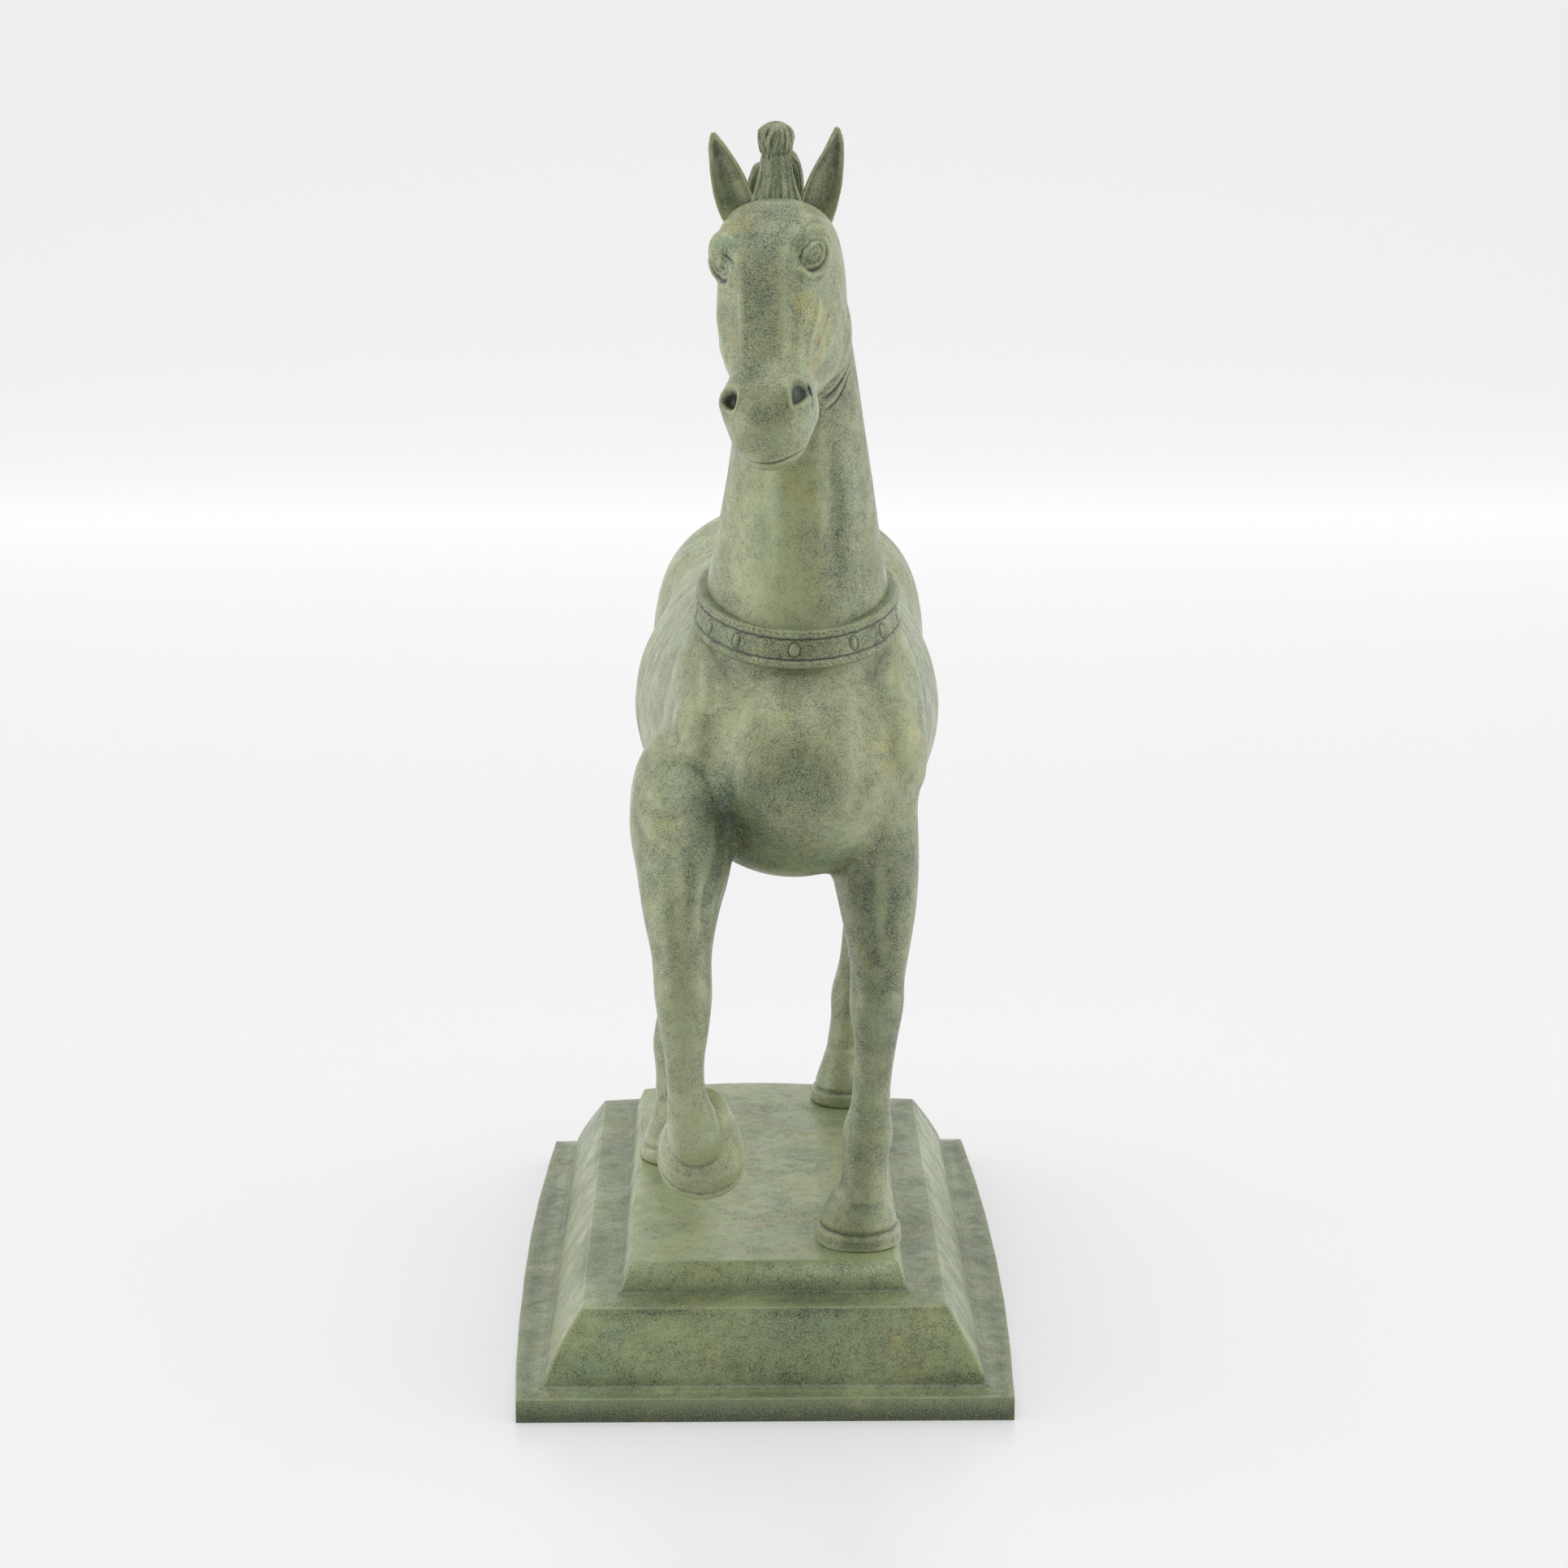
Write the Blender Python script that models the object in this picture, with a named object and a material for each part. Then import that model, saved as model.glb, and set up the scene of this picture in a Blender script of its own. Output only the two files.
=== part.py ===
"""A cast bronze horse, walking, on a stepped base that is a casting of its own.

Sizes are in millimetres and become metres where a mesh is made.  +Z is up, the horse
walks towards -Y, and +X is its left side.  The origin is the middle of the base's
underside.  The horse is built from tubes that follow its limbs, grown together into
one skin, and its feet are cut flat a hair above the top of the base.
"""
import bpy
import bmesh
import numpy as np

MM = 0.001

# ---- Driving sizes, mm ---------------------------------------------------------------
BASE_WIDTH = 176.0           # slab, side to side
BASE_LENGTH = 300.0          # slab, front to back
SLAB_HEIGHT = 8.5
MAIN_STEP_TOP = 34.3         # top of the tall sloping tier
PLATE_TOP = 44.8             # the top of the base, where the hooves stand
SIDE_BOW = 4.2               # how far the slab's long sides swell at mid-length
BOW_FADES = 9.0              # inset at which the sides are straight
BACK_BOW = 1.0               # how far the slab's back edge swells at mid-width
BACK_BOW_GROWS = 0.2         # what each mm of inset adds to the back's swelling
CORNERS_DRAW_IN = 0.1        # what each mm of inset takes off the back corners too
CASTING_GAP = 0.3            # between the hooves and the plate

TRUNK_X = 11.0               # the horse's own middle plane
HEAD_TOP = (5.3, -92.0, 420.0)
HEAD_TILT = 33.0             # degrees the face leans forward of vertical
HEAD_TURN = -14.0            # degrees the head is turned to the horse's right
HEAD_ROLL = 5.6              # degrees it is cocked to the side

COLLAR_PLACE = (12.7, -65.0, 278.5)
COLLAR_HALF_WIDTH = 34.2
COLLAR_HALF_LENGTH = 42.8
COLLAR_RISE = 9.5            # how much higher the back of the collar is than its middle
COLLAR_HALF_THICKNESS = 2.8
COLLAR_HALF_HEIGHT = 7.0
COLLAR_STEPS = 72            # sections round the neck
COLLAR_CORNERS = 16          # points in one section

SKIN_VOXEL = 1.7             # grain of the skin that joins the tubes
SKIN_TRIANGLES = 8800

for old in list(bpy.data.objects):
    bpy.data.objects.remove(old, do_unlink=True)


# ---- Materials -----------------------------------------------------------------------
def bronze(name, colour, roughness):
    """A waxed green bronze, plain."""
    material = bpy.data.materials.new(name)
    material.use_nodes = True
    shader = material.node_tree.nodes["Principled BSDF"]
    shader.inputs["Base Color"].default_value = (*colour, 1.0)
    shader.inputs["Roughness"].default_value = roughness
    shader.inputs["Metallic"].default_value = 0.25
    return material


# ---- Curves and tubes ----------------------------------------------------------------
def smooth_rows(rows, count):
    """Rows read from a cubic curve through the given rows, closer together at its ends.

    The curve's parameter is the length along the first three columns, so every other
    column, such as a radius, follows the path smoothly too.
    """
    rows = np.asarray(rows, dtype=float)
    reach = np.concatenate([[0.0], np.cumsum(np.linalg.norm(np.diff(rows[:, :3], axis=0), axis=1))])
    slope = np.gradient(rows, reach, axis=0)
    share = (np.arange(count) + 0.35) / (count - 0.3)
    at = reach[-1] * 0.5 * (1.0 - np.cos(np.pi * share))
    span = np.clip(np.searchsorted(reach, at, side="right") - 1, 0, len(reach) - 2)
    width = (reach[span + 1] - reach[span])[:, None]
    u = (at - reach[span])[:, None] / width
    bend = (
        (2 * u**3 - 3 * u**2 + 1) * rows[span]
        + (u**3 - 2 * u**2 + u) * width * slope[span]
        + (3 * u**2 - 2 * u**3) * rows[span + 1]
        + (u**3 - u**2) * width * slope[span + 1]
    )
    return bend, at, reach[-1]


def unit(vectors):
    return vectors / np.linalg.norm(vectors, axis=-1, keepdims=True)


def tube(rows, side=(1.0, 0.0, 0.0), caps=(8.0, 8.0), squareness=2.0, egg=0.0, facing=None,
         around=40, count=40):
    """A closed tube whose sections are rounded boxes between an ellipse and a rectangle.

    A row is x, y, z, half width along `side`, half depth across it, and may end with a
    squareness of its own.  Each end closes in a dome as long as its cap.  `egg` makes
    the deep side of a section the wider one, and `facing` sets all sections parallel.
    """
    if len(rows[0]) == 5:
        rows = [(*row, squareness) for row in rows]
    path, at, length = smooth_rows(rows, count)
    along = unit(np.gradient(path[:, :3], axis=0))
    if facing is not None:
        along = np.tile(np.asarray(facing, dtype=float), (count, 1))
    side = np.asarray(side, dtype=float)
    across = unit(side - along * (along @ side)[:, None])
    deep = np.cross(along, across)
    start = np.clip(at / caps[0], 0.0, 1.0)
    end = np.clip((length - at) / caps[1], 0.0, 1.0)
    dome = np.sqrt(1.0 - (1.0 - start) ** 2) * np.sqrt(1.0 - (1.0 - end) ** 2)
    turn = np.arange(around) * 2.0 * np.pi / around
    power = 2.0 / path[:, 5:6]
    cosine = np.sign(np.cos(turn)) * np.abs(np.cos(turn)) ** power
    sine = np.sign(np.sin(turn)) * np.abs(np.sin(turn)) ** power
    wide = (path[:, 3] * dome)[:, None] * cosine * (1.0 + egg * sine)
    tall = (path[:, 4] * dome)[:, None] * sine
    rings = path[:, None, :3] + wide[..., None] * across[:, None] + tall[..., None] * deep[:, None]
    ends = np.array([rows[0][:3], rows[-1][:3]], dtype=float)
    points = np.concatenate([rings.reshape(-1, 3), ends])
    faces = []
    for ring in range(count - 1):
        for step in range(around):
            here = ring * around + step
            beside = ring * around + (step + 1) % around
            faces.append((here, beside, beside + around, here + around))
    first, last = count * around, count * around + 1
    for step in range(around):
        after = (step + 1) % around
        faces.append((first, after, step))
        faces.append((last, (count - 1) * around + step, (count - 1) * around + after))
    return points, faces


def ball(centre, sizes, side=(1.0, 0.0, 0.0), along=(0.0, 0.0, 1.0)):
    """An egg-shaped lump: half sizes are across, deep and along."""
    centre = np.asarray(centre, dtype=float)
    reach = np.asarray(unit(np.asarray(along, dtype=float))) * sizes[2]
    rows = [
        (*(centre + reach * step), sizes[0], sizes[1])
        for step in (-1.0, -0.5, 0.0, 0.5, 1.0)
    ]
    return tube(rows, side=side, caps=(sizes[2], sizes[2]), around=24, count=18)


def mesh_object(name, parts, material):
    """One object from several closed shapes given in millimetres."""
    points = np.concatenate([part[0] for part in parts]) * MM
    faces = []
    first = 0
    for part_points, part_faces in parts:
        faces.extend(tuple(first + corner for corner in face) for face in part_faces)
        first += len(part_points)
    mesh = bpy.data.meshes.new(name)
    mesh.from_pydata(points.tolist(), [], faces)
    mesh.materials.append(material)
    made = bpy.data.objects.new(name, mesh)
    bpy.context.scene.collection.objects.link(made)
    return made


# ---- The head's own directions -------------------------------------------------------
def head_axes():
    """Directions of the head: across it, out of its face, and down it to the lips."""
    tilt, turned, roll = np.radians([HEAD_TILT, HEAD_TURN, HEAD_ROLL])
    turning = np.array([
        [np.cos(turned), -np.sin(turned), 0.0],
        [np.sin(turned), np.cos(turned), 0.0],
        [0.0, 0.0, 1.0],
    ])
    rolling = np.array([
        [np.cos(roll), 0.0, -np.sin(roll)],
        [0.0, 1.0, 0.0],
        [np.sin(roll), 0.0, np.cos(roll)],
    ])
    still = np.array([
        [1.0, 0.0, 0.0],
        [0.0, -np.cos(tilt), np.sin(tilt)],
        [0.0, -np.sin(tilt), -np.cos(tilt)],
    ])
    return (rolling @ turning @ still.T).T


ACROSS, FACE, DOWN = head_axes()


def on_head(across, out, down):
    """A point given as distances across the head, out of the face, and down it."""
    return np.array(HEAD_TOP) + across * ACROSS + out * FACE + down * DOWN


# ---- The horse, piece by piece -------------------------------------------------------
def trunk():
    """The barrel, from the chest to the buttocks: x, y, z, half width, half height."""
    rows = [
        (TRUNK_X, -130, 221, 24, 22, 2.0),
        (TRUNK_X, -121, 223, 35, 33, 2.0),
        (TRUNK_X, -103, 227, 42, 41.5, 2.0),
        (TRUNK_X, -70, 233, 46, 51, 2.0),
        (TRUNK_X, -25, 232, 54, 56, 2.0),
        (TRUNK_X - 1, 20, 230, 58.0, 56, 2.0),
        (TRUNK_X, 60, 238, 54, 52, 2.2),
        (TRUNK_X + 1, 90, 246, 53.5, 47, 2.7),
        (TRUNK_X + 1, 116, 250, 41, 39, 2.3),
        (TRUNK_X, 133, 250, 24, 25, 2.0),
    ]
    return tube(rows, caps=(14, 14), egg=0.05, facing=(0.0, 1.0, 0.0), around=64, count=60)


def neck():
    """The upright neck, from deep in the trunk to the poll."""
    rows = [
        (11, -58, 236, 38, 52),
        (12, -60, 258, 37, 49),
        (12.7, -61, 279, 34, 43.5),
        (13.0, -63, 300, 30, 38),
        (13.4, -64, 324, 26, 33),
        (13.2, -64, 339, 23.8, 30),
        (12.6, -63.5, 355, 22, 27.5),
        (10.8, -66, 380, 19.5, 23.5),
        (8, -73, 400, 17.5, 20),
        (6.5, -81, 414, 15, 15),
    ]
    return tube(rows, caps=(12, 12), around=56, count=60)


def head():
    """The long skull: down the head, front and back of it from the axis, half width."""
    profile = [
        (-3, 9, -22, 15),
        (3, 14, -28, 18),
        (13, 17, -35, 20.5),
        (25, 18.0, -41, 21.3),
        (37, 17.0, -43, 21.4),
        (48, 15.6, -39.5, 19.8),
        (57, 14.5, -31, 16.6),
        (65, 13.5, -23.5, 14.2),
        (70, 13.5, -20.5, 15.9),
        (76, 13.6, -18.5, 17.4),
        (83, 12.8, -17.5, 15.2),
        (90, 10.0, -16, 12.4),
        (96, 4, -13.5, 9.4),
    ]
    rows = [
        (*on_head(0.0, 0.5 * (front + back), down), width, 0.5 * (front - back))
        for down, front, back, width in profile
    ]
    return tube(rows, side=ACROSS, caps=(9, 8), squareness=2.2, facing=DOWN, around=56, count=56)


def brows():
    """The bony rims over the eyes, and the temples above them."""
    made = []
    for hand in (-1, 1):
        made.append(ball(on_head(hand * 15.4, 8.2, 19.5), (6.7, 7.2, 9.0), ACROSS, DOWN))
        made.append(ball(on_head(hand * 12.0, 4.0, 14.5), (8.2, 9.5, 8.0), ACROSS, DOWN))
    return made


def ears():
    """Two cupped ears, their hollows facing forward."""
    right = [
        (-5.0, -86, 415, 5.4, 4.5),
        (-9.2, -87, 424.5, 6.4, 4.8),
        (-12.0, -88, 433, 6.2, 4.2),
        (-15.0, -88, 440.0, 4.0, 3.2),
        (-16.8, -88, 446.5, 1.8, 2.0),
    ]
    left = [
        (17.0, -84, 416, 5.4, 4.5),
        (18.6, -86, 425, 6.4, 4.8),
        (21.0, -87, 433, 6.2, 4.2),
        (24.4, -88, 441, 4.0, 3.2),
        (25.6, -88, 448, 1.8, 2.0),
    ]
    return [tube(rows, caps=(4, 2.5), around=28, count=28) for rows in (right, left)]


def forelock():
    """The forelock, drawn up and tied in a knot between the ears."""
    rows = [
        (4.6, -93, 412, 10.0, 8),
        (4.6, -93, 424, 9.4, 7.5),
        (4.8, -92, 433, 7.0, 6.6),
        (4.7, -92, 438, 6.2, 6.0),
        (4.7, -92, 444, 7.0, 7.0),
        (4.7, -92, 450.8, 5.2, 5.4),
    ]
    return [tube(rows, caps=(3, 4), around=32, count=30), ball((9.5, -84, 432), (5.5, 5, 8))]


def mane():
    """A cropped mane standing along the crest of the neck."""
    rows = [
        (6.8, -81, 420.5, 3.4, 4),
        (8.2, -68, 419.0, 4.2, 5),
        (10.4, -51, 403.5, 4.8, 6.5),
        (13.0, -39, 380, 5.4, 6.5),
        (14.5, -33, 353, 5.8, 6.5),
        (15.0, -28, 326, 6.0, 6),
        (14.0, -24, 303, 5.2, 5),
        (12.8, -14, 293, 4.0, 4),
        (12.0, -2, 286, 2.8, 2.8),
    ]
    return tube(rows, caps=(5, 6), around=24, count=48)


def collar():
    """The flat collar round the foot of the neck, higher behind than in front."""
    around = np.linspace(0.0, 2.0 * np.pi, COLLAR_STEPS, endpoint=False)
    centre = np.array(COLLAR_PLACE) + np.stack([
        COLLAR_HALF_WIDTH * np.cos(around),
        COLLAR_HALF_LENGTH * np.sin(around),
        COLLAR_RISE * np.sin(around),
    ], axis=1)
    outward = np.stack([np.cos(around), np.sin(around), 0.12 + 0.0 * around], axis=1)
    along = unit(np.roll(centre, -1, axis=0) - np.roll(centre, 1, axis=0))
    outward = unit(outward - along * np.sum(outward * along, axis=1)[:, None])
    upward = np.cross(outward, along)
    turn = np.arange(COLLAR_CORNERS) * 2.0 * np.pi / COLLAR_CORNERS
    thick = COLLAR_HALF_THICKNESS * np.sign(np.cos(turn)) * np.abs(np.cos(turn)) ** 0.5
    high = COLLAR_HALF_HEIGHT * np.sign(np.sin(turn)) * np.abs(np.sin(turn)) ** 0.5
    rings = centre[:, None] + thick[:, None] * outward[:, None] + high[:, None] * upward[:, None]
    faces = []
    for ring in range(COLLAR_STEPS):
        for step in range(COLLAR_CORNERS):
            after = (step + 1) % COLLAR_CORNERS
            here = ring * COLLAR_CORNERS
            there = (ring + 1) % COLLAR_STEPS * COLLAR_CORNERS
            faces.append((here + step, here + after, there + after, there + step))
    return rings.reshape(-1, 3), faces


def shoulders():
    """The flat muscles over the shoulder blades."""
    made = []
    for hand, reach in ((1, 0.0), (-1, -6.0)):
        rows = [
            (TRUNK_X + 1 + hand * 25, -46, 270, 8, 16),
            (TRUNK_X + 1 + hand * 31, -62, 254, 12, 23),
            (TRUNK_X + 1 + hand * 31.5, -82 + reach * 0.5, 232, 15.2, 27),
            (TRUNK_X + hand * 30.5, -94 + reach, 212, 15.6, 22),
        ]
        made.append(tube(rows, caps=(10, 12), around=40, count=30))
    return made


def hoof(sole, up=(0.0, 0.0, 1.0), toe=(0.0, -1.0, 0.0), half_width=15.4, below=0.0):
    """A hoof with its shoe-like rim: `sole` is the middle of the ground edge.

    Rows are forward shift, height, half width and half length, as shares of the size.
    """
    sole, up, toe = (np.asarray(value, dtype=float) for value in (sole, up, toe))
    across = np.cross(toe, up)
    size = half_width / 15.4
    shape = [
        (-5.5, 21.0, 7.6, 9.0),
        (-4.6, 17.0, 10.0, 11.8),
        (-3.0, 12.0, 12.3, 14.2),
        (-1.2, 7.0, 14.1, 16.1),
        (0.0, 4.0, 15.3, 17.3),
        (0.0, -below, 15.5, 17.5),
    ]
    rows = [
        (*(sole + size * (forward * toe + height * up)), size * wide, size * long)
        for forward, height, wide, long in shape
    ]
    return tube(rows, side=across, caps=(4.0, 0.9), squareness=2.2, around=36, count=26)


def planted_foreleg():
    """The left foreleg, straight under the shoulder."""
    rows = [
        (43.0, -84, 226, 12.5, 24),
        (41.0, -84, 206, 14.6, 23),
        (40.4, -84, 188, 15.8, 20.5),
        (41.4, -85, 173, 14.2, 17),
        (41.8, -86, 158, 11.6, 13.5),
        (41.4, -87, 146, 9.9, 11.6),
        (41.0, -88, 134, 9.7, 11.6),
        (40.8, -87.5, 122, 7.8, 10.0),
        (39.8, -86.5, 109, 7.0, 8.8),
        (39.0, -86, 96, 7.3, 9.2),
        (38.1, -86, 86, 9.2, 11.0),
        (37.3, -87.5, 78, 8.5, 10.2),
        (36.8, -89.5, 70, 8.2, 10.0),
        (36.0, -89.5, 60, 9.0, 11.0),
    ]
    return [tube(rows, caps=(10, 5), around=40, count=64), hoof((35.0, -83.0, PLATE_TOP), below=4.0)]


def raised_foreleg():
    """The right foreleg, lifted: its knee forward and its hoof folded back below it."""
    rows = [
        (-19, -76, 232, 14, 22),
        (-26, -86, 219, 19, 25),
        (-28.2, -101, 207, 19.2, 23),
        (-28.3, -118, 194, 16.6, 19),
        (-29, -133, 181, 13.2, 14.5),
        (-28.6, -143, 168, 10.4, 12.0),
        (-28, -149.0, 154, 9.8, 11.4),
        (-27.8, -149.5, 143, 8.4, 10.2),
        (-27.7, -147, 132, 6.8, 8.6),
        (-27.2, -144, 120, 6.7, 8.6),
        (-25.6, -140.5, 109, 8.6, 10.4),
        (-24.6, -137, 102, 9.2, 10.4),
        (-23.4, -130, 98, 9.0, 9.8),
        (-22.6, -124, 94, 9.4, 10.0),
    ]
    up = unit(np.array([0.0, -0.71, 0.70]))
    toe = unit(np.array([0.0, -0.70, -0.71]))
    return [
        tube(rows, caps=(10, 5), around=40, count=64),
        hoof((-22.2, -116.5, 88.0), up=up, toe=toe, half_width=15.9),
    ]


def left_hind_leg():
    """The left hind leg, trailing behind the body."""
    rows = [
        (40, 86, 268, 15, 27),
        (45, 90, 246, 19.5, 36),
        (46.5, 91, 222, 20, 37),
        (46.5, 92, 203, 18, 30),
        (46.5, 99, 188, 15, 22),
        (46.8, 108, 174, 12.4, 16.5),
        (46.8, 118, 161, 10.8, 13.5),
        (46.2, 125, 150, 10.4, 13.5),
        (45.2, 126, 139, 9.3, 11.5),
        (43.9, 123, 126, 7.6, 9.0),
        (42.6, 119.5, 112, 7.3, 8.7),
        (41.0, 115.5, 96, 7.6, 9.0),
        (39.6, 112, 84, 9.3, 11.0),
        (38.6, 107, 75, 8.6, 9.8),
        (37.6, 101, 67, 9.0, 10.5),
        (37.0, 98, 60, 9.4, 11.0),
    ]
    return [
        tube(rows, caps=(12, 5), around=40, count=70),
        hoof((36.4, 93.0, PLATE_TOP), half_width=14.6, below=4.0),
    ]


def right_hind_leg():
    """The right hind leg, stepping under the belly."""
    rows = [
        (-16, 84, 268, 15, 27),
        (-21, 84, 246, 19.5, 36),
        (-23, 79, 222, 20, 37),
        (-25, 73, 203, 18, 30),
        (-27.5, 69, 188, 15, 22.5),
        (-29, 67, 174, 12.6, 16.5),
        (-30.4, 67, 161, 10.8, 13.5),
        (-31, 66.5, 150, 10.4, 13.5),
        (-31.6, 62, 139, 9.6, 11.8),
        (-32.3, 56, 126, 7.8, 9.2),
        (-32.8, 50.5, 112, 7.4, 8.8),
        (-33.3, 44.5, 97, 7.6, 9.2),
        (-33.5, 39, 84, 9.4, 11.0),
        (-33.2, 33, 75, 8.6, 9.8),
        (-32.8, 27, 67, 9.0, 10.5),
        (-32.6, 23, 60, 9.4, 11.0),
    ]
    return [
        tube(rows, caps=(12, 5), around=40, count=70),
        hoof((-32.5, 18.0, PLATE_TOP), half_width=15.0, below=4.0),
    ]


def tail():
    """The tail, set high, falling to the hocks."""
    rows = [
        (11, 112, 278, 8.5, 9.0),
        (11, 126, 279, 8.5, 9.0),
        (11, 136, 270, 9.0, 9.5),
        (11, 139, 252, 10.0, 10.0),
        (11, 139, 228, 11.5, 10.0),
        (11, 139, 200, 12.0, 10.0),
        (11, 138, 172, 10.0, 8.5),
        (11, 136, 142, 4.0, 4.0),
    ]
    return tube(rows, caps=(6, 8), squareness=2.2, around=32, count=48)


def cut_flat(mesh, height):
    """Cut the mesh level at a height, in metres, keep what is above, and close the cut."""
    edit = bmesh.new()
    edit.from_mesh(mesh)
    everything = edit.verts[:] + edit.edges[:] + edit.faces[:]
    bmesh.ops.bisect_plane(
        edit, geom=everything, dist=1e-7, plane_co=(0, 0, height), plane_no=(0, 0, -1), clear_outer=True,
    )
    bmesh.ops.holes_fill(edit, edges=[edge for edge in edit.edges if edge.is_boundary], sides=0)
    bmesh.ops.triangulate(edit, faces=edit.faces[:])
    edit.to_mesh(mesh)
    edit.free()


def make_horse(material):
    """All the tubes grown into one skin, thinned, with the standing hooves cut flat."""
    parts = [trunk(), neck(), head(), mane(), collar(), tail()]
    for several in (brows(), ears(), forelock(), shoulders()):
        parts.extend(several)
    for leg in (planted_foreleg(), raised_foreleg(), left_hind_leg(), right_hind_leg()):
        parts.extend(leg)
    horse = mesh_object("horse", parts, material)
    skin = horse.modifiers.new("Grow together", "REMESH")
    skin.mode = "VOXEL"
    skin.voxel_size = SKIN_VOXEL * MM
    rub = horse.modifiers.new("Rub down", "SMOOTH")
    rub.factor = 0.5
    rub.iterations = 3
    thin = horse.modifiers.new("Thin", "DECIMATE")
    thin.use_collapse_triangulate = True
    thin.ratio = SKIN_TRIANGLES / face_count(horse)
    evaluated = horse.evaluated_get(bpy.context.evaluated_depsgraph_get())
    finished = bpy.data.meshes.new_from_object(evaluated)
    horse.modifiers.clear()
    horse.data = finished
    cut_flat(horse.data, (PLATE_TOP + CASTING_GAP) * MM)
    horse.data.shade_smooth()
    return horse


def face_count(thing):
    """How many triangles an object has with its modifiers."""
    bpy.context.view_layer.update()
    evaluated = thing.evaluated_get(bpy.context.evaluated_depsgraph_get())
    return sum(len(face.vertices) - 2 for face in evaluated.data.polygons)


# ---- The base ------------------------------------------------------------------------
def base_profile():
    """The moulding, from the ground up: inset from the slab's edge, and height."""
    slope = [(9.3 + 13.4 * part**1.25, 10.3 + 24.0 * part) for part in np.linspace(0.0, 1.0, 5)]
    return [
        (0.0, 0.0), (0.0, SLAB_HEIGHT),
        (8.2, SLAB_HEIGHT + 0.6), *slope,
        (34.6, MAIN_STEP_TOP + 0.3), (36.0, MAIN_STEP_TOP + 1.0), (39.8, PLATE_TOP),
    ]


def make_base(material):
    """Rectangular rings stacked up the moulding; their long sides and back swell a little."""
    along = np.linspace(-1.0, 1.0, 13)[:-1]
    ring_points = []
    for inset, height in base_profile():
        half_x = BASE_WIDTH / 2 - inset
        half_y = BASE_LENGTH / 2 - inset
        back_bow = BACK_BOW + BACK_BOW_GROWS * inset
        back_y = half_y - BACK_BOW - CORNERS_DRAW_IN * inset
        middle = 0.5 * (back_y - half_y)
        bow = SIDE_BOW * (1.0 - along**2) * max(0.0, 1.0 - inset / BOW_FADES)
        right = np.stack([half_x + bow, middle + 0.5 * (half_y + back_y) * along], axis=1)
        back = np.stack([-half_x * along, back_y + back_bow * (1.0 - along**2)], axis=1)
        left = np.stack([-half_x - bow, middle - 0.5 * (half_y + back_y) * along], axis=1)
        front = np.array([[-half_x, -half_y]])
        outline = np.concatenate([right, back, left, front])
        level = np.full((len(outline), 1), height)
        ring_points.append(np.concatenate([outline, level], axis=1))
    count = len(ring_points[0])
    rings = len(ring_points)
    faces = [tuple(range(count))[::-1], tuple((rings - 1) * count + step for step in range(count))]
    for ring in range(rings - 1):
        for step in range(count):
            here = ring * count + step
            beside = ring * count + (step + 1) % count
            faces.append((here, beside, beside + count, here + count))
    base = mesh_object("base", [(np.concatenate(ring_points), faces)], material)
    base.data.set_sharp_from_angle(angle=0.5)
    return base


make_base(bronze("green bronze, base", (0.20, 0.23, 0.13), 0.5))
make_horse(bronze("green bronze, horse", (0.24, 0.28, 0.17), 0.45))
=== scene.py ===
# %% [markdown]
# # A walking horse in green bronze
#
# The object is a table bronze: a horse in the antique manner, stepping forward with one
# foreleg raised, on a stepped base that was cast on its own. The measured model gives
# its sizes. Here it gets the surface that a founder and a chaser would give it: muscles,
# eyes and nostrils, a chased collar, combed hair, and a waxed green patina.

# %% Load the measured model
import math

import bmesh
import bpy
import numpy as np
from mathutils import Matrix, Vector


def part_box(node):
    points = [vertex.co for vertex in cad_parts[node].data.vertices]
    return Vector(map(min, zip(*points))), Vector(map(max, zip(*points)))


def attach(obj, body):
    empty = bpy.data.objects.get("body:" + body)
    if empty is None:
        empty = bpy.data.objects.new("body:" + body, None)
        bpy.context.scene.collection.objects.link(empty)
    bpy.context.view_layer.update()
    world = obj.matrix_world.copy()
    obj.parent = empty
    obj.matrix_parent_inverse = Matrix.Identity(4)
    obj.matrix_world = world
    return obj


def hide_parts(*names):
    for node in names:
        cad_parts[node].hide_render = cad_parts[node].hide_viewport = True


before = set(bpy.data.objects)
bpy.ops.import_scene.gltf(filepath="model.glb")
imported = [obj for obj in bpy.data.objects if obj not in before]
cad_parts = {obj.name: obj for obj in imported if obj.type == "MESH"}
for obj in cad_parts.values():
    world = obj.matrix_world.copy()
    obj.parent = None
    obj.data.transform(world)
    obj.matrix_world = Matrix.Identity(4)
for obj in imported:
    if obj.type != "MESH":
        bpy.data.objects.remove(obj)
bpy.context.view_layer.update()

MM = 0.001
base_low, base_high = (np.array(corner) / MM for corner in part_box("base"))
horse_low, horse_high = (np.array(corner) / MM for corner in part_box("horse"))
PLATE_TOP = float(base_high[2])
SOLE = float(horse_low[2])
print(f"base {base_high - base_low} mm, horse {horse_high - horse_low} mm")

# %% [markdown]
# ## The camera and the light
#
# The camera stands in front of the horse's face, a little above it, and looks down. It
# comes first, so that every later piece can be judged through it. The object stands on a
# pale table that sweeps up into a pale wall, as in a product studio. Large soft lights on
# both sides and above light it, and the room is dimmest behind the camera, so the planes
# that face the viewer are the darkest ones.

# %% Camera
CAMERA_PLACE = (-0.011, -1.335, 0.482)
LOOK_DOWN = math.radians(12.0)
LOOK_RIGHT = math.radians(0.85)
LENS_MM, SENSOR_MM = 81.9, 36.0

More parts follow.
